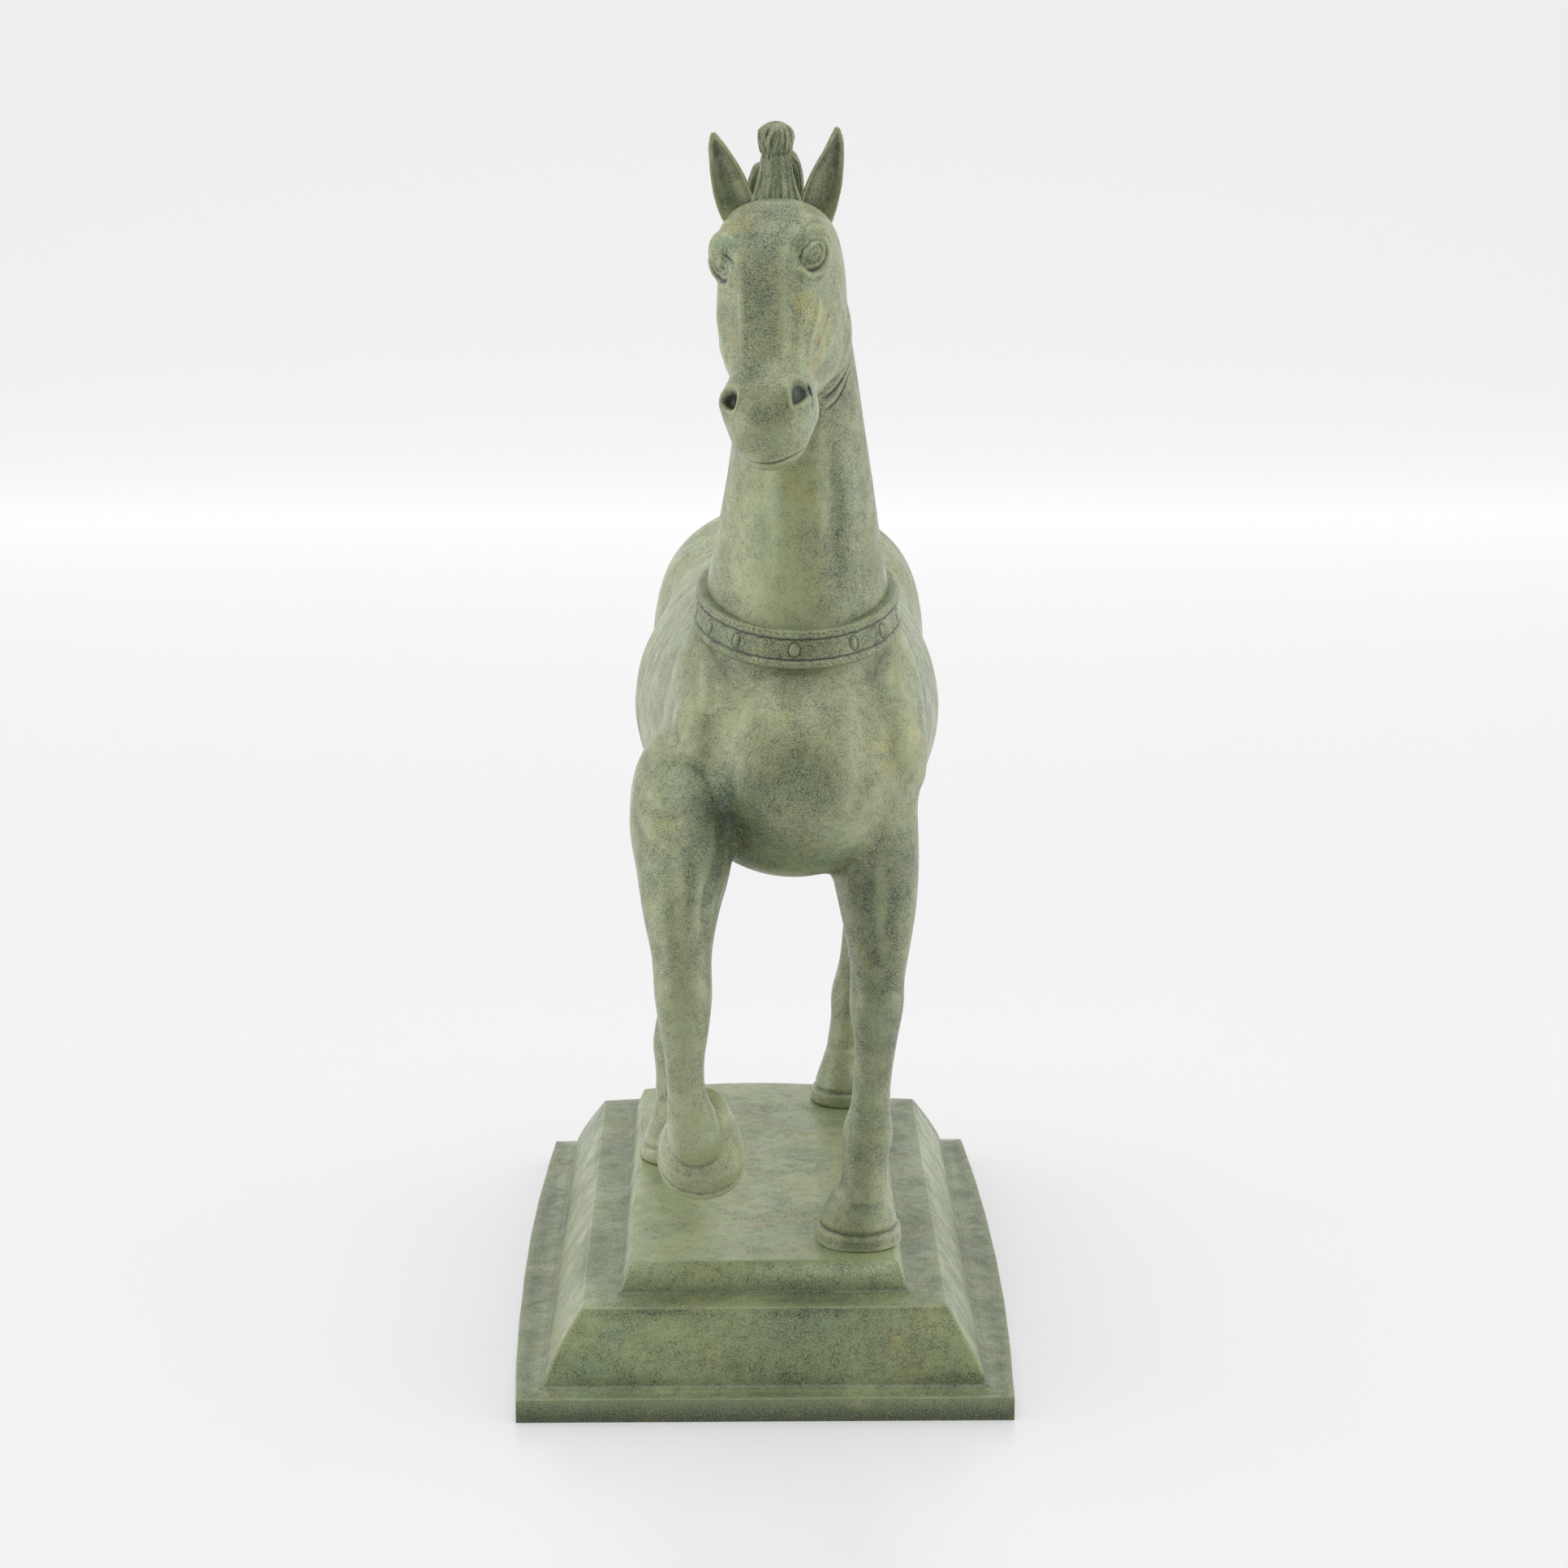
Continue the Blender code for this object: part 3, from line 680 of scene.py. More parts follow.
def flanks(skin):
    """Shoulder blades, elbow, ribs, flank hollow, hip bone and the split of the haunches."""
    for side, hand in ((LEFT, 1), (RIGHT, -1)):
        furrow(skin, [(0, -38, 282), (0, -52, 262), (0, -58, 240), (0, -56, 216)], side, 5.4, 0.75)
        furrow(skin, [(0, -82, 268), (0, -92, 250), (0, -102, 234)], side, 4.6, 0.6)
        furrow(skin, [(0, 52, 262), (0, 48, 240), (0, 56, 218), (0, 62, 204)], side, 6.8, 1.0)
        furrow(skin, [(0, 108, 262), (0, 112, 240), (0, 112, 216), (0, 106, 196)], side, 5.4, 0.65)
        place = skin.points
        ribs = np.cos((place[:, 1] + 0.18 * place[:, 2]) * 2 * np.pi / 11.0)
        skin.push(
            0.22 * ribs * blob(place, (TRUNK_X + hand * 50, 8, 238), (22, 42, 34))
            + 2.4 * blob(place, (TRUNK_X + hand * 40, 66, 272), (10, 12, 10))
            - 1.8 * blob(place, (TRUNK_X + hand * 52, 44, 256), (14, 14, 16))
            + 1.8 * blob(place, (TRUNK_X + hand * 44, -66, 214), (12, 12, 12))
        )
    furrow(skin, [(11, 0, 268), (11, 0, 246), (11, 0, 222), (11, 0, 204)], BACK, 6.1, 1.7)
    furrow(skin, [(11, -6, 0), (11, 30, 0), (11, 70, 0), (11, 104, 0)], ABOVE, 6.1, 0.6)


def raised_leg_folds(skin):
    """Folds of skin over the lifted upper leg, and the crease where it leaves the chest."""
    furrow(skin, [(-13, 0, 214), (-14, 0, 200), (-19, 0, 186), (-19, 0, 174)], FRONT, 3.5, 0.95)
    furrow(skin, [(-46, 0, 222), (-38, 0, 214), (-30, 0, 212)], FRONT, 2.4, 0.55)
    furrow(skin, [(-47, 0, 212), (-41, 0, 203), (-33, 0, 200)], FRONT, 2.4, 0.6)
    furrow(skin, [(-27, 0, 206), (-25, 0, 192), (-27, 0, 178)], FRONT, 2.7, 0.45)


def leg_bones(skin):
    """Knee and hock knobs, and tendons drawn as furrows down both sides of each shank."""
    place = skin.points
    skin.push(
        1.2 * blob(place, (36.5, -98, 138), (4.5, 6, 5))
        + 1.1 * blob(place, (46.5, -98, 139), (4.5, 6, 5))
        + 0.7 * blob(place, (41.5, -99, 130), (5.0, 6, 6))
        + 1.3 * blob(place, (-32.5, -158, 158), (4.5, 6, 5))
        + 1.2 * blob(place, (-23.5, -158, 158), (4.5, 6, 5))
        + 0.8 * blob(place, (-28.0, -160, 148), (5.0, 6, 6))
        + 1.8 * blob(place, (45.5, 139, 152), (5, 5, 8))
        + 1.8 * blob(place, (-31.5, 80, 152), (5, 5, 8))
    )
    furrow(skin, [(37.5, 0, 196), (36.5, 0, 180), (38.0, 0, 164), (40.0, 0, 150)], FRONT, 2.7, 0.45)
    furrow(skin, [(46.0, 0, 190), (46.5, 0, 176), (44.5, 0, 160)], FRONT, 2.7, 0.35)
    furrow(skin, [(-33.0, 0, 190), (-33.0, 0, 178), (-30.5, 0, 166)], FRONT, 2.7, 0.4)
    for side in (LEFT, RIGHT):
        furrow(skin, [(40, -84.5, 122), (39, -83, 108), (38, -82.5, 94)], side, 2.0, 0.45)
        furrow(skin, [(-27.5, -143, 134), (-27, -140.5, 122), (-26, -137.5, 113)], side, 2.0, 0.45)
        furrow(skin, [(44, 125, 128), (42.5, 122, 112), (41, 118, 96)], side, 2.0, 0.45)
        furrow(skin, [(-32, 59, 128), (-32.8, 53.5, 112), (-33.3, 47.5, 98)], side, 2.0, 0.45)
        furrow(skin, [(46, 106, 186), (46.5, 120, 168), (46, 130, 156)], side, 3.5, 0.8)
        furrow(skin, [(-28, 75, 186), (-30, 73, 168), (-31, 71, 156)], side, 3.5, 0.8)


chest(clay)
flanks(clay)
raised_leg_folds(clay)
leg_bones(clay)
clay.soften(passes=2)
print("body sculpted")


# %% Hoof rims
STANDING_RIM = 5.8
RAISED_RIM = 3.0


def hoof_rim(skin, sole, up, half_width, rim):
    """Turns the foot of a hoof into a shoe-like band: out below `rim` mm, a cut above it.

    The height of each point over the sole, along the hoof's own axis, chooses the move.
    """
    local = skin.points - np.asarray(sole)
    height = local @ np.asarray(up)
    aside = np.linalg.norm(local - height[:, None] * np.asarray(up), axis=1)
    near = (1.0 - step_up(aside, half_width + 5.0, half_width + 8.0)) * step_up(height, -6.0, -3.0)
    band = 1.0 - step_up(height, rim - 0.5, rim + 0.5)
    cut = np.exp(-(((height - rim - 0.4) / 0.8) ** 2))
    skin.push(near * (0.45 * band - 0.75 * cut) * (1.0 - step_up(height, 22.0, 26.0)))


for size in HOOVES[:3]:
    hoof_rim(clay, size["sole"], (0.0, 0.0, 1.0), size["half_width"], STANDING_RIM)
hoof_rim(clay, HOOVES[3]["sole"], RAISED_UP, HOOVES[3]["half_width"], RAISED_RIM)
print("hoof rims cut at", PLATE_TOP + STANDING_RIM, "mm")


# %% Finish a skin: remember its hollows, thin it, cut it
def cut_flat(mesh, place, away):
    """Cuts the mesh by a plane, drops the side that `away` points to, and closes the cut."""
    edit = bmesh.new()
    edit.from_mesh(mesh)
    everything = edit.verts[:] + edit.edges[:] + edit.faces[:]
    bmesh.ops.bisect_plane(
        edit, geom=everything, dist=1e-7, plane_co=np.asarray(place) * MM, plane_no=away, clear_outer=True,
    )
    rim = [edge for edge in edit.edges if edge.is_boundary]
    bmesh.ops.holes_fill(edit, edges=rim, sides=0)
    bmesh.ops.triangulate(edit, faces=[face for face in edit.faces if len(face.verts) > 4])
    edit.to_mesh(mesh)
    edit.free()


def keep(skin, name, values):
    """Stores one number for each point, which a material can read by name."""
    kept = skin.thing.data.attributes.new(name, "FLOAT", "POINT")
    kept.data.foreach_set("value", values.astype(np.float32))


def remember_hollows(skin):
    """How hollow each point is: 0.5 is flat, towards 1 a crease, towards 0 a crest."""
    fine = skin.hollowness(2)
    broad = skin.hollowness(14)
    spread = 2.6 * np.std(fine) + 1e-9
    wide = 2.6 * np.std(broad) + 1e-9
    keep(skin, "hollow", 0.5 + 0.3 * np.tanh(fine / spread) + 0.2 * np.tanh(broad / wide))


def stained(skin, name, places):
    """A kept value, the sum of soft spots as (centre, sizes, strength): used for painted shade and light
    and for the ochre of the patina.
    """
    keep(skin, name, sum(strength * blob(skin.points, centre, sizes) for centre, sizes, strength in places))


def finish_skin(skin, triangles, cuts):
    """Thins a skin to about a count of triangles, then cuts it by planes."""
    remember_hollows(skin)
    thing = skin.thing
    now = 2 * len(thing.data.polygons)
    thin = thing.modifiers.new("thin", "DECIMATE")
    thin.ratio = min(1.0, triangles / now)
    thin.use_collapse_triangulate = True
    mesh = settle(thing)
    for place, away in cuts:
        cut_flat(mesh, place, away)
    mesh.shade_smooth()
    print(thing.name, "has", sum(len(face.vertices) - 2 for face in mesh.polygons), "triangles")


# Painted shade: darker on the front of the chest, in the crease under the raised leg, on the fronts of the
# forelegs, on the lower hind legs and under the belly.
stained(clay, "stain", [
    ((12, -118, 244), (10, 30, 26), 0.26),
    ((22, -118, 230), (26, 30, 14), 0.24),
    ((0, -124, 224), (16, 30, 10), 0.18),
    ((-13, -110, 203), (13, 30, 20), 0.85),
    ((-28, -130, 170), (16, 40, 60), 0.35),
    ((41, -95, 160), (14, 16, 56), 0.6),
    ((38, -90, 70), (16, 24, 26), 0.35),
    ((10, 0, 180), (60, 90, 14), 0.3),
    ((42, 110, 110), (16, 30, 60), 0.3),
    ((-32, 45, 110), (16, 40, 60), 0.3),
])
stained(clay, "yellowing", [
    ((-36, -110, 206), (14, 20, 14), 0.5),
    ((44, -104, 236), (14, 14, 16), 0.3),
    ((-24, -118, 96), (12, 14, 10), 0.4),
])
COLLAR_PLACE = np.array([12.7, -65.0, 278.5])
COLLAR_HALF_WIDTH = 34.2
COLLAR_HALF_LENGTH = 42.8
COLLAR_RISE = 9.5
COLLAR_SLOPE = COLLAR_RISE / COLLAR_HALF_LENGTH
COLLAR_UNDERLAP = 1.5
COLLAR_UP = unit(np.array([0.0, -COLLAR_SLOPE, 1.0]))
finish_skin(clay, SKIN_TRIANGLES, [
    ((0.0, 0.0, SOLE), (0.0, 0.0, -1.0)),
    (COLLAR_PLACE + COLLAR_UNDERLAP * COLLAR_UP, COLLAR_UP),
])

# %% [markdown]
# ## The head and the neck
#
# A sculptor turns the head as a whole, so its features are given in its own directions:
# across it, out of the face, and down it. It leans forward, looks a little to its right
# and is slightly cocked. Its features are found by an angle round the head, 0 in the
# middle of the face and 90 at the left cheek, and a distance down from the poll.

# %% The head's own directions
HEAD_TOP = np.array([5.3, -92.0, 420.0])
HEAD_TILT, HEAD_TURN, HEAD_ROLL = np.radians([33.0, -14.0, 5.6])


def head_axes():
    """Across, out and down: a frame tilted about X, then turned about Z, then rolled about Y."""
    turning = np.array([
        [np.cos(HEAD_TURN), -np.sin(HEAD_TURN), 0.0],
        [np.sin(HEAD_TURN), np.cos(HEAD_TURN), 0.0],
        [0.0, 0.0, 1.0],
    ])
    rolling = np.array([
        [np.cos(HEAD_ROLL), 0.0, -np.sin(HEAD_ROLL)],
        [0.0, 1.0, 0.0],
        [np.sin(HEAD_ROLL), 0.0, np.cos(HEAD_ROLL)],
    ])
    still = np.array([
        [1.0, 0.0, 0.0],
        [0.0, -np.cos(HEAD_TILT), np.sin(HEAD_TILT)],
        [0.0, -np.sin(HEAD_TILT), -np.cos(HEAD_TILT)],
    ])
    return (rolling @ turning @ still.T).T


ACROSS, FACE, DOWN = head_axes()


def on_head(across, out, down):
    return HEAD_TOP + across * ACROSS + out * FACE + down * DOWN


# Down the head, front and back of its profile, half width, squareness.
SKULL = np.array([
    (-3, 9, -22, 15, 2.3),
    (3, 14, -28, 18, 2.35),
    (13, 17, -35, 20.5, 2.35),
    (25, 18.0, -41, 21.0, 2.35),
    (37, 17.0, -43, 21.4, 2.35),
    (48, 15.6, -39.5, 19.8, 2.35),
    (57, 14.5, -31, 16.6, 2.35),
    (65, 13.5, -23.5, 14.2, 2.3),
    (70, 13.5, -20.5, 15.6, 2.2),
    (76, 13.6, -18.5, 16.3, 2.15),
    (83, 12.8, -17.5, 14.1, 2.1),
    (90, 10.0, -15.6, 11.2, 2.1),
    (96, 4, -12.6, 8.2, 2.1),
])


def skull():
    """The long skull and muzzle, a superellipse tube down the head."""
    rows = [
        (*on_head(0.0, 0.5 * (front + back), down), width, 0.5 * (front - back), squareness)
        for down, front, back, width, squareness in SKULL
    ]
    return tube(rows, side=ACROSS, facing=DOWN, caps=(9, 8), around=180, count=220)


def ear(rows, opens):
    """A cupped leaf: a thick arc, carried up the ear, whose open side faces `opens`.

    Round the section, the cosine runs along the arc and the sine picks its inner or outer
    side; the thickness is the square root of the sine, so the rims are round.
    """
    share = np.linspace(0.0, 1.0, 90)
    path, _, _ = smooth_rows(rows, share)
    along = unit(np.gradient(path[:, :3], axis=0))
    opens = unit(np.asarray(opens, dtype=float))
    front = unit(opens - along * (along @ opens)[:, None])
    across = np.cross(along, front)
    turn = np.arange(60) * 2.0 * np.pi / 60
    bend = 1.5 * np.cos(turn)
    wide = path[:, 3:4] * np.sin(bend) / np.sin(1.5)
    cup = path[:, 4:5] * (1.0 - np.cos(bend))
    wall = path[:, 5:6] * boxy(np.sin(turn), 0.5)
    wide = wide - wall * np.sin(bend)
    cup = cup + wall * np.cos(bend)
    rings = path[:, None, :3] + wide[..., None] * across[:, None] + cup[..., None] * front[:, None]
    ends = np.stack([rings[0].mean(axis=0), rings[-1].mean(axis=0)])
    return np.concatenate([rings.reshape(-1, 3), ends]), ring_faces(90, 60)


def ears():
    """Both ears: x, y, z of the back of the leaf, half width, depth of the cup, wall."""
    right = [
        (-2.5, -87, 408, 4.4, 2.6, 1.3),
        (-6.0, -88, 416, 6.0, 4.0, 1.05),
        (-9.2, -88, 424, 6.3, 4.6, 0.8),
        (-12.0, -88, 432, 5.4, 4.0, 0.65),
        (-14.6, -88.5, 439, 3.6, 2.6, 0.6),
        (-16.2, -89, 443.4, 2.0, 1.4, 0.6),
        (-17.0, -89.2, 446.2, 0.6, 0.4, 0.5),
    ]
    left = [
        (15.0, -86, 408.5, 4.4, 2.6, 1.3),
        (17.0, -87, 416.5, 6.0, 4.0, 1.05),
        (19.2, -87.5, 424.5, 6.3, 4.6, 0.8),
        (21.8, -87.5, 432.5, 5.4, 4.0, 0.65),
        (24.2, -88, 439.5, 3.6, 2.6, 0.6),
        (25.4, -88.6, 444.8, 2.0, 1.4, 0.6),
        (25.8, -89, 448.0, 0.6, 0.4, 0.5),
    ]
    return [ear(right, (-0.12, -1.0, -0.1)), ear(left, (0.25, -1.0, -0.1))]


# %% Grow the head and the neck
HEAD_GRAIN = 0.5
brows = [ball(on_head(across, 8.2, 20.5), (6.7, 7.2, 10.0), ACROSS, DOWN) for across in (-14.6, 15.4)]
temples = [ball(on_head(hand * 11.5, 4.6, 13.0), (7.6, 9.4, 8.0), ACROSS, DOWN) for hand in (-1, 1)]
cheeks = [ball(on_head(hand * 12.2, -22.0, 36.0), (9.6, 16.0, 18.0), ACROSS, DOWN) for hand in (-1, 1)]
head = grown("horse_head_neck", [neck(), skull(), *brows, *temples, *cheeks, *ears()], HEAD_GRAIN)
flesh = Skin(head)
ear_zone = step_up(flesh.points[:, 2], 417.0, 424.0)
flesh.fill_creases(60, share=1.0 - ear_zone)
flesh.soften(1.0 - 0.8 * ear_zone, passes=10)
print("head skin:", len(flesh.points), "points")


# %% Finding a place on the head
def face_spot(skin, angle, down):
    """The skin's point at an angle round the head and a distance down it, and the way out there."""
    middle = np.interp(down, SKULL[:, 0], 0.5 * (SKULL[:, 1] + SKULL[:, 2]))
    turn = math.radians(angle)
    out = math.sin(turn) * ACROSS + math.cos(turn) * FACE
    return laid(skin, [on_head(0.0, middle, down)], out)[0], out


def face_line(skin, route, width, height, bank=0.25):
    """A ridge or a furrow on a route of angles round the head and distances down it."""
    line = np.array([face_spot(skin, angle, down)[0] for angle, down in route])
    draw(skin, line, width, height, bank)


def face_lump(skin, angle, down, sizes, height):
    """A swelling at a spot on the head: sizes are across the way out, along it, and down the head."""
    spot, out = face_spot(skin, angle, down)
    axes = np.stack([np.cross(DOWN, out), out, DOWN])
    skin.push(height * blob(skin.points, spot, sizes, axes))


# %% Bones of the face
def face_bones(skin):
    """A flat nose between two ridges that start at the brows, crests of the cheeks, and the jaw."""
    ridge_route = [(52, 20), (42, 15.5), (30, 16), (21, 22), (16, 31), (15.5, 42), (18, 54), (24, 64)]
    for hand in (-1, 1):
        for route, width, height, bank in (
            (ridge_route, 2.6, 0.6, 0.25),
            (((28, 33), (26, 44), (29, 56), (36, 67)), 3.0, -0.65, 0.1),
            (((46, 37), (46, 46), (50, 55), (58, 62)), 1.8, 0.75, 0.25),
            (((62, 38), (60, 48), (64, 58)), 2.0, -0.6, 0.1),
            (((78, 44), (76, 54), (80, 62)), 1.8, 0.5, 0.25),
        ):
            face_line(skin, [(hand * angle, down) for angle, down in route], width, height, bank)
        face_lump(skin, hand * 66, 12, (6, 6, 6), -0.5)


face_bones(flesh)
flesh.soften(1.0 - ear_zone, passes=3)
print("face bones set")


# %% [markdown]
# ### Eyes, nostrils and lips
#
# These were modelled crisply in the wax. The eye is a ball in a rimmed socket, with the
# ring of the iris and the pupil cut in with a small tool. Each nostril is a real hollow
# with a rolled rim, so it stays dark in any light, and painted shade darkens the nostrils
# and the eyes further. The mouth is one cut that runs round the muzzle and leaves a thin
# lower lip.

# %% Eyes
def eye(skin, hand):
    """A socket, a ball in it, an upper lid, creases round it, and an incised iris and pupil.

    The rings are ellipses: centre + cosine x half length x long way + sine x half height x up.
    """
    spot, _ = face_spot(skin, 2.5 + hand * 31.5, 28.6 - hand * 1.1)
    out = unit(0.72 * hand * ACROSS + 0.70 * FACE)
    long_way = unit(-0.9 * DOWN - 0.45 * FACE + 0.25 * hand * ACROSS)
    long_way = unit(long_way - out * (long_way @ out))
    up = np.cross(long_way, out)
    up = up if up @ FACE < 0.0 else -up
    axes = np.stack([long_way, out, up])
    skin.push(-0.45 * blob(skin.points, spot, (5.8, 7.0, 5.0), axes))
    skin.push(1.2 * blob(skin.points, spot, (3.4, 8.0, 3.2), axes))

    def ring(length, height, start, stop, steps=14):
        turn = np.radians(np.linspace(start, stop, steps))
        path = spot + np.outer(length * np.cos(turn), long_way) + np.outer(height * np.sin(turn), up)
        return laid(skin, path, out)

    for route, width, height in (
        (ring(4.2, 3.4, -10, 190), 0.62, 0.58),
        (ring(3.3, 2.5, 0, 360, 18), 0.42, -0.22),
        (ring(5.5, 4.9, 10, 180), 0.50, -0.34),
        (ring(5.2, 4.5, 200, 330), 0.50, -0.22),
        (ring(7.0, 6.6, -20, 200), 1.30, 0.70),
    ):
        skin.push(height * stroke(skin.points, route, width, taper=width < 1.5))
    skin.push(-0.6 * blob(skin.points, spot, (1.2, 4.0, 0.8), axes))
    corner = spot - 4.6 * long_way
    tear = laid(skin, [corner, corner + 2.5 * DOWN, corner + 6.0 * DOWN], out)
    skin.push(0.3 * stroke(skin.points, tear, 1.1))


for side in (-1, 1):
    eye(flesh, side)
print("eyes set at", np.round(face_spot(flesh, 34.0, 27.5)[0], 1), "mm")


# %% Nostrils, lips and chin
def press(skin, direction, amount):
    """Moves points along one fixed direction, for a hollow deeper than it is wide."""
    skin.points += amount[:, None] * direction
    skin.refresh()


def nostril(skin, hand):
    """A flared rim and a slanting oval hole, pressed up and inwards."""
    face_lump(skin, hand * 46, 75, (6, 7, 6), 1.5)
    spot, _ = face_spot(skin, 6.0 + hand * 41.0, 77.0 - hand * 0.8)
    half_long, half_short, depth, aside = (4.2, 2.8, 5.0, 0.36) if hand > 0 else (3.1, 2.7, 4.6, 0.10)
    inward = -unit(aside * hand * ACROSS + FACE + 0.15 * DOWN)
    long_way = unit(-DOWN + 0.35 * hand * ACROSS)
    long_way = unit(long_way - inward * (long_way @ inward))
    axes = np.stack([long_way, inward, np.cross(long_way, inward)])
    local = (skin.points - spot) @ axes.T
    taper = 1.0 + 0.10 * local[:, 0]
    radius = np.hypot(local[:, 0] / half_long, local[:, 2] / (half_short * np.clip(taper, 0.5, 1.4)))
    near = np.abs(local[:, 1]) < 6.0
    skin.push(0.4 * near * np.exp(-(((radius - 1.45) / 0.35) ** 2)))
    press(skin, inward, depth * near * np.exp(-radius**3))
    skin.soften(near * (radius < 2.0), passes=3)


def muzzle_line(skin, route, width, height, bank):
    """A line over the rounded end of the muzzle, seen from a point inside it."""
    inside = on_head(0.0, -3.0, 84.0)
    spots = [on_head(*place) for place in route]
    line = np.array([laid(skin, [spot], spot - inside)[0] for spot in spots])
    draw(skin, line, width, height, bank)


def lips(skin):
    """The cut of the mouth round the muzzle, which leaves a thin lower lip, and its corners."""
    half = [
        (5.0, -1.2, 96.8), (8.6, -3.2, 93.8), (11.2, -6.0, 89.5), (12.4, -8.8, 84.0), (12.8, -10.8, 78.5),
    ]
    mouth = [(-across, out, down) for across, out, down in half[::-1]] + [(0.0, -0.6, 98.0)] + half
    muzzle_line(skin, mouth, 0.7, -1.0, 0.2)
    for hand in (-1, 1):
        face_line(skin, [(hand * a, d) for a, d in ((60, 68), (70, 73), (78, 80))], 1.4, -0.5)


for side in (-1, 1):
    nostril(flesh, side)
lips(flesh)
print("nostrils and lips cut")


# %% Folds of the throat and the muscles of the neck
def throat_folds(skin):
    """Skin gathered at the throat, behind the jaw: four curved cuts on each side of the neck.

    Each cut starts on an ellipse, the neck's section there, and moves to the skin's
    nearest points.
    """
    steps = np.linspace(0.0, 1.0, 6)
    turn = 0.36 + 0.75 * steps
    middle_x, middle_y, half_width, half_depth = 12.6, -63.5, 22.0, 28.0
    for hand in (-1, 1):
        x = middle_x + hand * half_width * np.sin(turn)
        y = middle_y - half_depth * np.cos(turn)
        for low, long in ((364.0, 8.0), (359.0, 10.0), (354.5, 12.0), (350.0, 14.0)):
            route = np.stack([x, y, low + long * steps**1.4], axis=1)
            nearest = [np.linalg.norm(skin.points - spot, axis=1).argmin() for spot in route]
            line = skin.points[nearest]
            fold = stroke(skin.points, line + (0.0, 0.0, 1.6), 0.9)
            skin.push(-0.55 * stroke(skin.points, line, 0.38) + 0.2 * fold)


def neck_muscles(skin):
    """A long muscle on each side of the windpipe, with a channel behind it."""
    for hand in (-1, 1):
        x = 13.0 + hand * 13.0
        channel = [(x - 2, -90, 346), (x - 1, -92, 332), (x + 0.5, -96, 312), (x + 1, -100, 292)]
        furrow(skin, channel, (hand * 0.3, -1.0, 0.0), 4.0, 0.9 if hand > 0 else 0.35, 0.3)
        x = 13.0 + hand * 21.0
        crest = [(x - 4, -50, 392), (x - 3, -46, 366), (x, -42, 336), (x + 3, -38, 306)]
        furrow(skin, crest, (hand * 0.95, 0.2, 0.0), 3.4, 0.9, 0.4)


throat_folds(flesh)
neck_muscles(flesh)
flesh.soften(0.5, passes=1)
# Painted shade: darker on the forehead and down the front of the nose, in the nostrils, in the eyes and in
# the channel of the neck; the one negative spot is painted light on the front of the neck.
stained(flesh, "stain", [
    (on_head(0, 17, 10), (18, 12, 12), 0.35),
    (on_head(0, 16, 36), (9, 8, 24), 0.5),
    (on_head(0, 14, 66), (12, 8, 12), 0.25),
    (on_head(2, 13, 84), (12, 8, 9), 0.3),
    (on_head(-14.5, 10, 78), (4, 6, 4.5), 0.8),
    (on_head(14.0, 10, 76), (4, 6, 5.5), 0.5),
    ((6, -96, 312), (16, 20, 60), -0.4),
    (on_head(-19.0, 10, 29.7), (4, 6, 3.5), 0.7),
    (on_head(17.5, 12, 27.5), (4, 6, 3.5), 0.4),
    ((26, -84, 320), (7, 16, 60), 0.35),
])
stained(flesh, "yellowing", [
    (on_head(16, 4, 46), (7, 10, 16), 0.6),
    (on_head(-16, 8, 50), (6, 8, 16), 0.25),
    (on_head(-14, 10, 14), (10, 8, 8), 0.35),
    (on_head(0, 10, 2), (16, 10, 5), 0.3),
])
finish_skin(flesh, SKIN_TRIANGLES, [(COLLAR_PLACE - COLLAR_UNDERLAP * COLLAR_UP, -COLLAR_UP)])

# %% [markdown]
# ## The collar
#
# A broad strap with a corded edge above and below, and round studs between, was chased
# into the wax at the foot of the neck. It is one closed ring: a section carried round an
# oval that lies higher behind than in front. The cords are bumps that run on a slant
# along each edge, a cosine of the way round plus the way across.

# %% Collar
def ring_mesh(name, rings):
    """A closed surface from rings that also close on themselves, like a tyre."""
    count, around = rings.shape[:2]
    ring, step = np.meshgrid(np.arange(count), np.arange(around), indexing="ij")
    onward, after = (ring + 1) % count, (step + 1) % around
    corners = [ring * around + step, ring * around + after, onward * around + after, onward * around + step]
    faces = np.stack(corners, axis=-1).reshape(-1, 4)
    mesh = bpy.data.meshes.new(name)
    mesh.from_pydata((rings.reshape(-1, 3) * MM).tolist(), [], faces.tolist())
    mesh.shade_smooth()
    return show(name, mesh)


STRAP_HALF_THICKNESS = 2.5
STRAP_HALF_HEIGHT = 6.9


